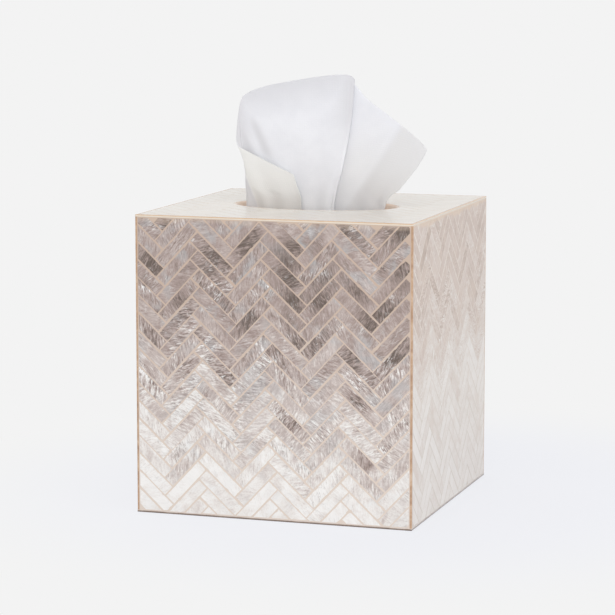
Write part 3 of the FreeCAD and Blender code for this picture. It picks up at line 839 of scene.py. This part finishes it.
# %% [markdown]
# ## Grout panels
#
# Since the slips were nudged, the packed grout's pockets no longer fit them exactly. A plain panel that
# lies a hair lower than the slips and runs behind them fills every joint. The top panel is a ring: its
# points go from the oval to the square along straight spokes.

# %% Shapes of panels and rings
RING_STEPS = 160


def block(low, high):
    """Eight corners and six outward faces of a block, from two opposite corners."""
    pick = np.array([(x, y, z) for z in (0, 1) for x, y in ((0, 0), (1, 0), (1, 1), (0, 1))])
    faces = [(3, 2, 1, 0), (4, 5, 6, 7), (0, 1, 5, 4), (1, 2, 6, 5), (2, 3, 7, 6), (3, 0, 4, 7)]
    return np.where(pick == 0, low, high), faces


def spokes(count, first=0.0):
    """Unit vectors all round, evenly spaced. The first lies at a share of one step."""
    angle = (np.arange(count) + first) * 2 * math.pi / count
    return np.stack([np.cos(angle), np.sin(angle)], axis=-1)


def joined(this, following, steps):
    """Quads between rings of points and the rings that follow, from the number of each ring's first point."""
    step = np.arange(steps)
    after = (step + 1) % steps
    faces = np.stack([this + step, this + after, following + after, following + step], axis=-1)
    return faces.reshape(-1, 4).tolist()


def carried_round(profile):
    """Points and outward faces of a closed profile carried once round: each ring of points joins the next.

    The profile's rings, flat points with a height, go up the inside, over the top and down the outside.
    """
    points = np.concatenate([np.column_stack([flat, np.full(RING_STEPS, z)]) for flat, z in profile])
    this = np.arange(len(profile))[:, None] * RING_STEPS
    return points, joined(np.roll(this, -1, axis=0), this, RING_STEPS)


def oval_panel(low, high, radii):
    """A square panel with an oval hole: a four-cornered profile carried once round.

    For each angle the inner points lie on the oval and the outer ones where the same spoke meets the square.
    """
    spoke = spokes(RING_STEPS)
    inner = spoke * radii
    outer = spoke / np.abs(spoke).max(axis=1, keepdims=True) * high[:2]
    return carried_round([(inner, low[2]), (inner, high[2]), (outer, high[2]), (outer, low[2])])


print("a ring has", RING_STEPS, "steps")

# %% Grout panels
# How much lower than the slips the grout lies, in mm
GROUT_DROP = 0.03

rim_low, rim_high = np.array(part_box("oval_rim")) / MM
for face, kind in KINDS.items():
    axes = FACES[face]
    corners = np.array(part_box(f"{face}_grout")) / MM @ axes.T
    low, high = corners.min(axis=0), corners.max(axis=0)
    high[2] -= GROUT_DROP
    points, faces = oval_panel(low, high, rim_high[:2]) if face == "top" else block(low, high)
    grout = mix_grout(f"{kind}_grout", LOOKS[kind])
    panel = new_piece(f"{face}_joints", points @ axes, faces, grout, "cover")
    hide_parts(f"{face}_grout")
print("grout panels:", len(KINDS))

# %% [markdown]
# ## Strips and rim
#
# Thin tan strips, wood under the same resin, guard every edge, and a bent one lines the slot. The solids of
# the strips are already right, down to their rounded outer edges, so they keep their shape and only get a
# finish. The upright strips are tan with paler streaks. Along the top the strips are cream below a tan
# edge, and along the foot they are cream above a dark line of painted contact shadow. The rim is a paler
# peach than the strips, lightened as painted light against the shade in the slot, and its inner edge is
# eased so that the tissue slides over it. A bevel on the packed solid could do that, but a profile carried
# round the oval is cleaner. One recipe serves all finishes, with its own colours and with or without a
# change by height.

# %% Finish the strips
TOP_STRIP_LOW = float(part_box("front_top_strip")[0][2])
# Height of the painted contact shadow along the foot in mm, scales of streaks and grain per metre, and how
# far grain moves a tint and streaks move a border
FOOT_SHADOW_LINE = 0.60
STRIP_STREAK = 130.0
STRIP_GRAIN = 700.0
GRAIN_CHANCE = 0.25
BORDER_CHANCE = 0.5
TAN = [(0.30, shown(0.64, 0.49, 0.375)), (0.52, shown(0.755, 0.61, 0.485)), (0.74, shown(0.85, 0.745, 0.64))]
CREAM_TO_TAN = [(0.30, shown(0.91, 0.865, 0.80)), (0.60, shown(0.895, 0.82, 0.72)),
                (0.78, shown(0.835, 0.69, 0.55))]
# Painted contact shadow at the foot of the strips, going up into cream
FOOT_SHADOW_TO_CREAM = [(0.20, shown(0.38, 0.31, 0.27)), (0.55, shown(0.66, 0.57, 0.50)),
                 (0.80, shown(0.90, 0.87, 0.835))]


def mix_strip(name, stops, low=None, high=None):
    """Streaky varnished wood: colours by streak, or by height between two levels with ragged borders."""
    finish = Finish(name)
    spot = finish.place()
    streaks = finish.noise(spot, STRIP_STREAK, detail=5.0, rough=0.6, wander=0.8)
    if high is None:
        tint = finish.plus(streaks, finish.swing(finish.noise(spot, STRIP_GRAIN, detail=2.0), GRAIN_CHANCE))
    else:
        rise = finish.between(finish.part(spot, "Z"), low, high)
        tint = finish.plus(rise, finish.swing(streaks, BORDER_CHANCE))
    return finish.surface({
        "Base Color": finish.ramp(tint, stops), "Roughness": 0.45, "Coat Weight": 1.0, "Coat Roughness": 0.05,
        "Normal": finish.bump(streaks, 0.15, 0.0002)})


def dress(node, material):
    """Give a CAD node a finish through its material slot."""
    nodes[node].data.materials.clear()
    nodes[node].data.materials.append(material)


strip_finishes = {
    "_corner_strip": mix_strip("tan_strip", TAN),
    "_top_strip": mix_strip("cream_and_tan_strip", CREAM_TO_TAN, TOP_STRIP_LOW, COVER_HIGH),
    # Cream above a line of painted contact shadow along the foot
    "_bottom_strip": mix_strip("cream_and_foot_shadow_strip", FOOT_SHADOW_TO_CREAM, 0.0, 2 * FOOT_SHADOW_LINE * MM),
}
for node in nodes:
    for ending, finish in strip_finishes.items():
        if node.endswith(ending):
            dress(node, finish)
print("strips dressed:", sum(node.endswith("_strip") for node in nodes))

# %% Ease the lip of the rim
# Thickness of the rim's wall and drop of its lip, in mm
RIM_WALL = 1.6
LIP_DROP = 3.2
# Steps of the eased lip: share of the wall from its inner to its outer face, and share of the drop
LIP_SHARES = [(0.0, 1.0), (0.22, 0.62), (0.55, 0.24), (1.0, 0.0)]
# Rim colours, paler than the strips' tan: painted light that brightens the rim against the shade in the slot
RIM_PEACH_PAINTED_LIGHT = [(0.30, shown(0.92, 0.78, 0.66)), (0.52, shown(0.95, 0.84, 0.75)), (0.74, shown(0.96, 0.89, 0.83))]


def eased_rim(low, high, wall):
    """The rim as a profile carried round the oval: a straight inner wall that leans out to a soft lip.

    Each point of the profile lies on an oval between the inner and the outer one, by its share of the wall.
    """
    spoke = spokes(RING_STEPS)
    lip = [(out, high[2] - LIP_DROP * drop) for out, drop in LIP_SHARES]
    steps = [(0.0, low[2]), *lip, (1.0, low[2])]
    return carried_round([(spoke * (high[:2] - wall * (1 - out)), z) for out, z in steps])


rim_points, rim_faces = eased_rim(rim_low, rim_high, RIM_WALL)
rim = new_piece("eased_rim", rim_points, rim_faces, mix_strip("peach_rim_painted_light", RIM_PEACH_PAINTED_LIGHT), "cover")
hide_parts("oval_rim")
print("rim:", len(rim.data.polygons), "faces")

# %% [markdown]
# ## Inside: boards and pins
#
# The box under the cladding is fibreboard, seen only from below or when the cover is lifted. Pressed fibre
# has short dark and pale flecks with no direction, so two sizes of noise are enough. The pins that hold the
# boards are plain drawn steel wire.

# %% Finish the boards and pins
# Scales of noise, per metre of the object
BOARD_CLOUDS = 45.0
BOARD_FLECKS = 1500.0
WIRE_LINES = 1800.0

board = Finish("pressed_fibreboard")
board_spot = board.place()
board_cloud = board.noise(board_spot, BOARD_CLOUDS, detail=3.0)
board_fleck = board.noise(board_spot, BOARD_FLECKS, detail=3.0, rough=0.7)
board_tint = board.weighed(board_cloud, 0.4, board_fleck, 0.6)
board_browns = [(0.35, shown(0.55, 0.42, 0.30)), (0.5, shown(0.68, 0.54, 0.40)),
                (0.65, shown(0.78, 0.65, 0.50))]
board_finish = board.surface({
    "Base Color": board.ramp(board_tint, board_browns), "Roughness": 0.85,
    "Normal": board.bump(board_fleck, 0.3, 0.0002)})
steel = Finish("drawn_steel")
steel_line = steel.noise(steel.place(), WIRE_LINES, detail=2.0)
steel_finish = steel.surface({
    "Base Color": steel.ramp(steel_line, [(0.3, shown(0.62, 0.62, 0.64)), (0.7, shown(0.74, 0.74, 0.76))]),
    "Metallic": 1.0, "Roughness": 0.35})
for node in nodes:
    if node.endswith("_board"):
        dress(node, board_finish)
    elif node.endswith("_pins"):
        dress(node, steel_finish)
print("boards and pins dressed")

# %% [markdown]
# ## The refill carton
#
# Under the cover stands an ordinary carton of white-coated board with a clear film in its opening. It shows
# only when the cover is lifted. White board is never quite even: it has faint fibres and soft mottling, and
# the film is so thin that it reads as a gloss on what lies behind it.

# %% Finish the carton and its film
# Scales of noise, per metre of the object, and the stretch that lays card fibres upright
CARD_FIBRES = 900.0
CARD_UPRIGHT = (1.0, 1.0, 0.25)
CARD_MOTTLES = 60.0
FILM_WAVES = 70.0

card = Finish("coated_card")
card_spot = card.place()
card_fibre = card.noise(card.stretched(card_spot, CARD_UPRIGHT), CARD_FIBRES, detail=4.0, rough=0.65)
card_mottle = card.noise(card_spot, CARD_MOTTLES, detail=3.0)
card_tint = card.weighed(card_fibre, 0.5, card_mottle, 0.5)
card_whites = [(0.35, shown(0.895, 0.90, 0.90)), (0.5, shown(0.915, 0.918, 0.915)),
               (0.65, shown(0.935, 0.935, 0.93))]
card_finish = card.surface({
    "Base Color": card.ramp(card_tint, card_whites), "Roughness": 0.6,
    "Normal": card.bump(card_fibre, 0.12, 0.0001)})
film = Finish("clear_film")
film_wave = film.noise(film.place(), FILM_WAVES, detail=2.0, wander=0.5)
film_finish = film.surface({
    "Base Color": film.ramp(film_wave, [(0.3, shown(0.93, 0.94, 0.95)), (0.7, shown(0.97, 0.97, 0.98))]),
    "Roughness": 0.08, "Alpha": 0.3, "Normal": film.bump(film_wave, 0.3, 0.001)})
for node in ("carton_walls", "carton_base", "carton_top"):
    dress(node, card_finish)
dress("carton_film", film_finish)
print("carton dressed")

# %% [markdown]
# ## The folded tissues in the carton
#
# A full carton holds a pile of tissues, each folded into the next. From outside, the pile is a soft block
# whose sides show the edges of the folded layers. One way is to model every sheet, but the pile is hidden.
# So its outline is one rounded square carried up the pile, drawn in and out by a fraction of a millimetre
# at each layer, and closed by a slightly sunken top.

# %% Shape the pile
# Layers, points up each layer and round the pile, the power of its outline, how far the edges draw in
# between layers and the top sinks in mm, and the shares of the outline where the rings of the ends lie
PILE_LAYERS = 46
PILE_POINTS_PER_LAYER = 4
PILE_ROUND = 64
PILE_SQUARENESS = 12.0
PILE_EDGE = 0.35
PILE_SINK = 0.8
PILE_INWARD = (0.6, 0.2)


def pile_of_tissues(low, high):
    """Points and faces of the pile.

    Round it goes a superellipse of high power, which is a square with soft corners. Up it, the radius swells
    and shrinks as the absolute sine of the height once per layer. Two shrinking rings close each end.
    """
    half = (high - low)[:2] / 2
    spoke = spokes(PILE_ROUND, 0.5)
    outline = spoke / (np.abs(spoke) ** PILE_SQUARENESS).sum(axis=1, keepdims=True) ** (1 / PILE_SQUARENESS)
    level = np.linspace(0, 1, PILE_LAYERS * PILE_POINTS_PER_LAYER + 1)
    bulge = np.abs(np.sin(level * PILE_LAYERS * math.pi)) * PILE_EDGE - PILE_EDGE
    side = outline * half + outline[None] * bulge[:, None, None]
    height = low[2] + level * (high[2] - low[2])
    rings = np.concatenate([side, np.repeat(height, PILE_ROUND).reshape(-1, PILE_ROUND, 1)], axis=-1)
    ends = outline * half * np.array(PILE_INWARD)[:, None, None]
    lid = high[2] - PILE_SINK
    top = np.concatenate([ends, np.full((2, PILE_ROUND, 1), lid)], axis=-1)
    foot = np.concatenate([ends[::-1], np.full((2, PILE_ROUND, 1), low[2])], axis=-1)
    rings = np.concatenate([foot, rings, top])
    points = np.concatenate([rings.reshape(-1, 3), [(0, 0, low[2]), (0, 0, lid)]])
    first = (np.arange(len(rings)) * PILE_ROUND)[:, None]
    walls = joined(first[:-1], first[1:], PILE_ROUND)
    step = np.arange(PILE_ROUND)
    after = (step + 1) % PILE_ROUND
    under = np.stack([np.full(PILE_ROUND, len(points) - 2), after, step], axis=-1)
    over = np.stack([np.full(PILE_ROUND, len(points) - 1), first[-1] + step, first[-1] + after], axis=-1)
    return points, walls + under.tolist() + over.tolist()


print("the pile has", PILE_LAYERS, "layers")

# %% Finish and set the pile
# Scale of noise per metre of the object, and the stretch that lays it in level layers
LAYER_LINES = 160.0
LAYER_STRETCH = (0.2, 0.2, 6.0)

paper_pile = Finish("piled_tissue")
pile_spot = paper_pile.place()
pile_layer = paper_pile.noise(paper_pile.stretched(pile_spot, LAYER_STRETCH), LAYER_LINES, detail=4.0)
pile_whites = [(0.35, shown(0.86, 0.86, 0.87)), (0.6, shown(0.94, 0.94, 0.945))]
pile_finish = paper_pile.surface({
    "Base Color": paper_pile.ramp(pile_layer, pile_whites), "Roughness": 0.95, "Specular IOR Level": 0.1,
    "Normal": paper_pile.bump(pile_layer, 0.3, 0.0003)})
pile_points, pile_faces = pile_of_tissues(*np.array(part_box("tissue_stack")) / MM)
pile = new_piece("folded_tissues", pile_points, pile_faces, pile_finish, "refill")
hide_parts("tissue_stack")
print("pile of tissues:", len(pile.data.polygons), "faces")

# %% [markdown]
# ## The raised tissue
#
# The tissue is one sheet of paper: a flap folded forward at the left, a broad middle panel that rolls over
# at its top left, a tight fold back at the right, and a wing that spreads behind. Cloth simulation would
# find folds of its own, but these are particular folds, so the sheet is shaped like a sailmaker's drawing:
# upright stations along the sheet, each from the gather in the slot to the upper edge, and a smooth spline
# through them both ways.

# %% Stations of the sheet
# One row per station, in mm: place in the slot (across, depth), place of the upper edge (across, depth,
# height above the box), and bows of the run between them: sideways at a third, at two thirds, and in depth
STATIONS = np.array([
    (-6.7, -4.2, -10.6, -4.6, 15.3, 0.8, 0.3, 0.0),
    (-14.3, -4.3, -21.2, -5.0, 20.1, 0.0, 0.0, 0.0),
    (-21.8, -4.3, -32.2, -5.0, 25.2, -0.5, -0.5, 0.0),
    (-28.6, -4.1, -36.9, -4.9, 27.4, -1.5, -1.7, 0.0),
    (-35.3, -3.6, -40.0, -4.7, 29.1, 0.9, 2.2, 0.1),
    (-35.3, -2.9, -40.6, -5.2, 35.1, 0.9, 1.4, 0.5),
    (-34.0, -2.3, -38.4, -5.0, 51.3, -0.5, -1.6, 0.6),
    (-29.7, -2.1, -34.1, -4.4, 56.0, 0.0, -0.4, 0.8),
    (-21.7, -2.2, -25.1, -4.2, 59.3, 0.0, 0.0, 0.8),
    (-12.8, -2.2, -15.1, -4.2, 61.4, 0.0, 0.0, 0.7),
    (-3.8, -2.2, -3.4, -4.4, 63.5, 0.0, 0.0, 0.8),
    (3.6, -2.1, 8.1, -4.4, 65.1, 0.6, 0.8, 0.8),
    (7.6, -1.8, 15.7, -3.8, 65.6, 1.8, 2.0, 0.6),
    (9.2, -1.4, 18.8, -2.6, 64.9, 1.5, 2.1, 0.3),
    (9.4, -0.9, 20.2, -1.6, 63.1, 1.2, 1.6, 0.1),
    (7.7, -0.4, 18.9, -0.8, 62.1, 1.2, 1.5, 0.0),
    (0.6, -0.2, 11.3, -0.4, 60.3, 0.0, 0.0, 0.0),
    (-0.2, 0.8, 9.7, 0.9, 60.5, 0.0, 0.0, 0.0),
    (9.2, 1.0, 18.4, 1.2, 61.1, 0.0, 0.0, 0.0),
    (17.2, 1.2, 25.8, 2.1, 53.4, 0.0, 0.0, 0.0),
    (25.4, 1.3, 37.0, 3.0, 45.1, 0.0, 0.0, 0.0),
    (31.7, 1.2, 48.1, 3.9, 36.6, 0.2, 0.4, 0.1),
    (35.6, 1.0, 56.7, 4.5, 28.9, 0.7, 1.1, 0.3),
])
TOP_FACE = COVER_HIGH / MM
SHEET_FOOT = float(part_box("raised_tissue")[0][2]) / MM


def station_levels():
    """Five points for each station: foot of the tail, slot, a third, two thirds and the upper edge."""
    slot = np.column_stack([STATIONS[:, :2], np.full(len(STATIONS), TOP_FACE)])
    foot = np.column_stack([STATIONS[:, :2], np.full(len(STATIONS), SHEET_FOOT)])
    edge = np.column_stack([STATIONS[:, 2:4], TOP_FACE + STATIONS[:, 4]])
    level = np.zeros(len(STATIONS))
    third = slot + (edge - slot) / 3 + np.column_stack([STATIONS[:, 5], STATIONS[:, 7], level])
    two_thirds = slot + (edge - slot) * 2 / 3 + np.column_stack([STATIONS[:, 6], STATIONS[:, 7], level])
    return np.stack([foot, slot, third, two_thirds, edge], axis=1)


print("stations:", len(STATIONS), "with", station_levels().shape[1], "levels each")

# %% A spline through a row of points


def spline_weights(count, where):
    """Weights of a Catmull-Rom spline through a row of points.

    Each place lies between two points. Four neighbours share it out by the usual cubic weights, and beyond
    the ends the end point counts again.
    """
    span = np.clip(np.floor(where), 0, count - 2).astype(int)
    t = where - span
    cubic = np.stack([-t + 2 * t**2 - t**3, 2 - 5 * t**2 + 3 * t**3,
                      t + 4 * t**2 - 3 * t**3, -t**2 + t**3], axis=-1)
    weights = np.zeros((len(where), count))
    for offset in range(4):
        column = np.clip(span + offset - 1, 0, count - 1)
        np.add.at(weights, (np.arange(len(where)), column), cubic[:, offset] / 2)
    return weights


print("weights halfway along four points:", spline_weights(4, np.array([1.5])).round(4).tolist()[0])

# %% Spread the sheet over the stations
SHEET_ACROSS = 240
SHEET_UP = 84
# Columns lie this share closer in the middle of the sheet, near the tight fold
CROWDING = 0.06
# Share of the sheet over which the wing's tip is rounded, and the share of the run that it drops
TIP_ROUND = 0.016
TIP_DROP = 0.09
# Number of pleats, their depth in mm and the height in mm over which they fade
PLEATS = 15
PLEAT_DEPTH = 0.35
PLEAT_HEIGHT = 11.0


def sheet_points():
    """The sheet as a grid of points: spline weights across, times the stations, times weights up.

    Near the wing's tip the upper end drops along a quarter of an ellipse, which rounds that corner. Small
    pleats across the slot fade with height.
    """
    levels = station_levels()
    across = np.linspace(0, 1, SHEET_ACROSS)
    across = across + CROWDING * np.sin(2 * math.pi * across) / (2 * math.pi)
    by_station = np.einsum("sn,nlc->slc", spline_weights(len(levels), across * (len(levels) - 1)), levels)
    tip = np.clip((across - 1 + TIP_ROUND) / TIP_ROUND, 0, 1)
    reach = 1 - TIP_DROP * (1 - np.sqrt(1 - tip**2))
    up = np.linspace(0, 1, SHEET_UP)[None, :] * reach[:, None]
    rows = [spline_weights(levels.shape[1], row * (levels.shape[1] - 1)) for row in up]
    points = np.einsum("sul,slc->suc", np.stack(rows), by_station)
    fade = np.exp(-np.clip(points[..., 2] - TOP_FACE, 0, None) / PLEAT_HEIGHT)
    wave = np.sin(across * PLEATS * 2 * math.pi)[:, None]
    points[..., 1] += PLEAT_DEPTH * wave * fade
    return points, across, up


sheet, sheet_s, sheet_t = sheet_points()
diagonal = np.cross(sheet[1:, 1:] - sheet[:-1, :-1], sheet[1:, :-1] - sheet[:-1, 1:])
sheet_area = float(np.linalg.norm(diagonal, axis=-1).sum() / 2) * MM * MM
print("sheet area:", round(sheet_area, 5), "square metres")

# %% [markdown]
# ## Tissue paper
#
# Tissue paper is two soft plies. It scatters nearly all light, lets some through, and has a fine crepe
# across the sheet with a faint embossing. Crepe and embossing are bumps here, because their height is a few
# hundredths of a millimetre. The sheet's shading is painted into its colour as shares from 0 to 1 on the
# points: painted shade greys the roll, a band beside it, the part near the tight fold, the upper edge, the
# flap's corner and the wing, painted warm light as bounced from the cream top warms the flap, the low wing
# and the foot, and painted shade dims the flap's foot and the wing beside the pinch. Real scattering through
# the sheet would be slow and lost in the export. The sheet gets its thickness from a Solidify modifier.

# %% Shares of painted shade and painted warm light on the paper
# Stations between which the flap ends, the panel starts and ends, and the wing starts
FLAP_ENDS = (4.0, 4.6)
PANEL_STARTS = (4.3, 4.9)
PANEL_ENDS = (14.0, 14.5)
WING_STARTS = (17.5, 18.0)
# The station where the panel rolls over, and how many stations the roll takes
ROLL_MIDDLE = 5.6
ROLL_WIDTH = 1.3
# Creases as a point on each (across, height above the box) and the direction from its bright to its dark side
ROLL_CREASE = ((-34.3, 38.0), (-0.911, -0.411))
WING_CREASE = ((20.1, 8.6), (0.84, -0.543))
WING_FOLD = ((20.1, 8.6), (0.681, 0.732))
FLAP_CREASE = ((-36.0, 16.0), (-0.925, -0.379))
# Widths in mm over which the flap's crease, the pinch of the wing and the other creases fade
FLAP_SOFT = 1.5
PINCH_SOFT = 3.0
CREASE_SOFT = 5.0
# The band of painted shade beside the roll, as from a dent, in mm: its distance from the crease, its width,
# and heights of both ends
DENT_OFF = 3.0
DENT_WIDE = 2.5
DENT_STARTS = (18.0, 28.0)
DENT_ENDS = (38.0, 50.0)
# Stations and shares of the height between which painted shade greys the panel towards the tight fold, and
# towards its top
FOLD_STATIONS = (10.3, 13.0)
FOLD_LEVELS = (0.50, 0.85)
UPPER_LEVELS = (0.74, 1.0)
# Heights in mm between which painted warm light leaves the wing, and painted shade the pinch and the flap
WING_WARM = (20.0, 45.0)
PINCH_DIM = (2.0, 22.0)
FLAP_DIM = (0.0, 8.0)
# How much painted shade greys the upper edge, the roll, the dent, the wing and its fan, and the fan's share
# below its fold
GREY_UPPER = 0.70
GREY_ROLL = 0.95
GREY_DENT = 0.75
GREY_WING = 0.25
GREY_FAN = 0.67
FAN_BELOW = 0.4
# How much painted warm light, as bounced from the cream top, warms the flap, the fan, the low wing and the
# foot, and over how many mm the foot's warmth fades
WARM_FLAP = 0.9
WARM_FAN = 0.35
WARM_WING = 0.3
WARM_FOOT = 0.3
WARM_FADE = 7.0
# How much painted shade dims the flap's foot and the pinch
DIM_FLAP = 0.30
DIM_PINCH = 0.15
print("the sheet has 4 creases and", len(STATIONS), "stations")

# %% Work out the shares


def past(points, crease):
    """Distance of points in mm from a crease, counted towards its dark side."""
    (across, rise), (to_side, to_rise) = crease
    return (points[..., 0] - across) * to_side + (points[..., 2] - TOP_FACE - rise) * to_rise


def beyond(points, crease, soft):
    """0 on the bright side of a crease and 1 on its dark side, eased over a soft width in mm."""
    return eased(past(points, crease), 0.0, soft)


def paper_shares(points, across, up):
    """Shares of painted shade, painted warm light and painted foot shade at each point of the sheet, from its
    station, level and creases.

    Flap, panel and wing are smooth steps along the stations. On the panel the greyest of four shades counts.
    """
    station = (across * (len(STATIONS) - 1))[:, None]
    rise = np.clip(points[..., 2] - TOP_FACE, 0, None)
    flap = 1 - eased(station, *FLAP_ENDS)
    panel = eased(station, *PANEL_STARTS) * (1 - eased(station, *PANEL_ENDS))
    wing = eased(station, *WING_STARTS)
    corner = flap * beyond(points, FLAP_CREASE, FLAP_SOFT)
    bend = np.exp(-((station - ROLL_MIDDLE) / ROLL_WIDTH) ** 2)
    roll = np.maximum(beyond(points, ROLL_CREASE, CREASE_SOFT), bend)
    dent_shade_band = np.exp(-((past(points, ROLL_CREASE) + DENT_OFF) / DENT_WIDE) ** 2)
    dent_shade_band = dent_shade_band * eased(rise, *DENT_STARTS) * (1 - eased(rise, *DENT_ENDS))
    near_fold = eased(station, *FOLD_STATIONS) * eased(up, *FOLD_LEVELS)
    past_fold = FAN_BELOW + (1 - FAN_BELOW) * beyond(points, WING_FOLD, CREASE_SOFT)
    fan = beyond(points, WING_CREASE, CREASE_SOFT) * past_fold
    upper = eased(up, *UPPER_LEVELS)
    shade = np.max([GREY_UPPER * upper, GREY_ROLL * roll, GREY_DENT * dent_shade_band, near_fold], axis=0)
    grey = np.maximum(panel * shade + wing * (GREY_WING + GREY_FAN * fan), corner)
    low_wing = wing * np.maximum(WARM_FAN * fan, WARM_WING * (1 - eased(rise, *WING_WARM)))
    warm = np.maximum((flap - corner) * WARM_FLAP + low_wing, WARM_FOOT * np.exp(-rise / WARM_FADE))
    pinch = wing * beyond(points, WING_CREASE, PINCH_SOFT) * (1 - eased(rise, *PINCH_DIM))
    dim = (flap - corner) * (1 - eased(rise, *FLAP_DIM)) * DIM_FLAP + pinch * DIM_PINCH
    return {"grey": grey, "warm": warm, "dim": dim}


shares = paper_shares(sheet, sheet_s, sheet_t)
print("mean shares:", {name: round(float(share.mean()), 2) for name, share in shares.items()})

# %% Finish the tissue paper
# Scales of noise and dots, per cm of the sheet, and the stretch that lays the crepe across it
CREPE_LINES = 9.0
CREPE_STRETCH = (1.0, 5.0, 1.0)
PAPER_MOTTLES = 0.8
EMBOSSED_DOTS = 9.0

paper = Finish("tissue_paper")
paper_map = paper.surface_map("sheet")
crepe = paper.noise(paper.stretched(paper_map, CREPE_STRETCH), CREPE_LINES, detail=3.0, rough=0.6)
mottle = paper.noise(paper_map, PAPER_MOTTLES, detail=3.0)
paper_tint = paper.weighed(mottle, 0.7, crepe, 0.3)
dots = paper.add("ShaderNodeTexVoronoi", {"feature": "F1"}, {
    "Vector": paper_map, "Scale": EMBOSSED_DOTS, "Randomness": 0.15}).outputs["Distance"]
paper_height = paper.weighed(crepe, 0.6, dots, 0.5)
paper_colour = paper.ramp(paper_tint, [(0.35, shown(0.935, 0.938, 0.955)), (0.6, shown(0.958, 0.961, 0.976))])
# Painted shade, painted warm light bounced from the cream top, and painted foot shade, each by its share
paper_colour = paper.blend(paper.given("grey"), paper_colour, shown(0.855, 0.852, 0.864))
paper_colour = paper.blend(paper.given("warm"), paper_colour, shown(0.950, 0.948, 0.934))
paper_colour = paper.blend(paper.given("dim"), paper_colour, shown(0.80, 0.77, 0.745))
paper_finish = paper.surface({
    "Base Color": paper_colour, "Roughness": 0.95, "Specular IOR Level": 0.15,
    "Normal": paper.bump(paper_height, 0.45, 0.0002)})
print("paper finish:", paper_finish.name)

# %% Hang the tissue
# Thickness of the sheet in mm
PAPER_THICK = 0.30


def grid_faces(across, up):
    """Quads of a grid whose points are stored row by row."""
    first = (np.arange(across - 1)[:, None] * up + np.arange(up - 1)).reshape(-1)
    return np.stack([first, first + up, first + up + 1, first + 1], axis=-1)


sheet_faces = grid_faces(SHEET_ACROSS, SHEET_UP).tolist()
sheet_flat = sheet.reshape(-1, 3)
tissue = new_piece("standing_tissue", sheet_flat, sheet_faces, paper_finish, "tissue")
run = np.concatenate([[0], np.cumsum(np.linalg.norm(np.diff(sheet.mean(axis=1), axis=0), axis=-1))])
climb = np.cumsum(np.linalg.norm(np.diff(sheet, axis=1), axis=-1), axis=1)
height = np.concatenate([np.zeros((SHEET_ACROSS, 1)), climb], axis=1)
corners = corner_points(tissue.data)
write_map(tissue.data, "sheet", np.repeat(run, SHEET_UP)[corners] * CM_PER_MM,
          height.reshape(-1)[corners] * CM_PER_MM)
for name, share in shares.items():
    write_numbers(tissue.data, name, share.reshape(-1), "POINT")
tissue.data.shade_smooth()
plies = tissue.modifiers.new("plies", "SOLIDIFY")
plies.thickness = PAPER_THICK * MM
plies.offset = 0.0
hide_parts("raised_tissue")
upper_edge = np.linalg.norm(np.diff(sheet[:, -1], axis=0), axis=-1).sum()
print("tissue:", len(tissue.data.polygons), "faces, upper edge", round(float(upper_edge)), "mm, tallest run",
      round(float(height.max())), "mm")

# %% [markdown]
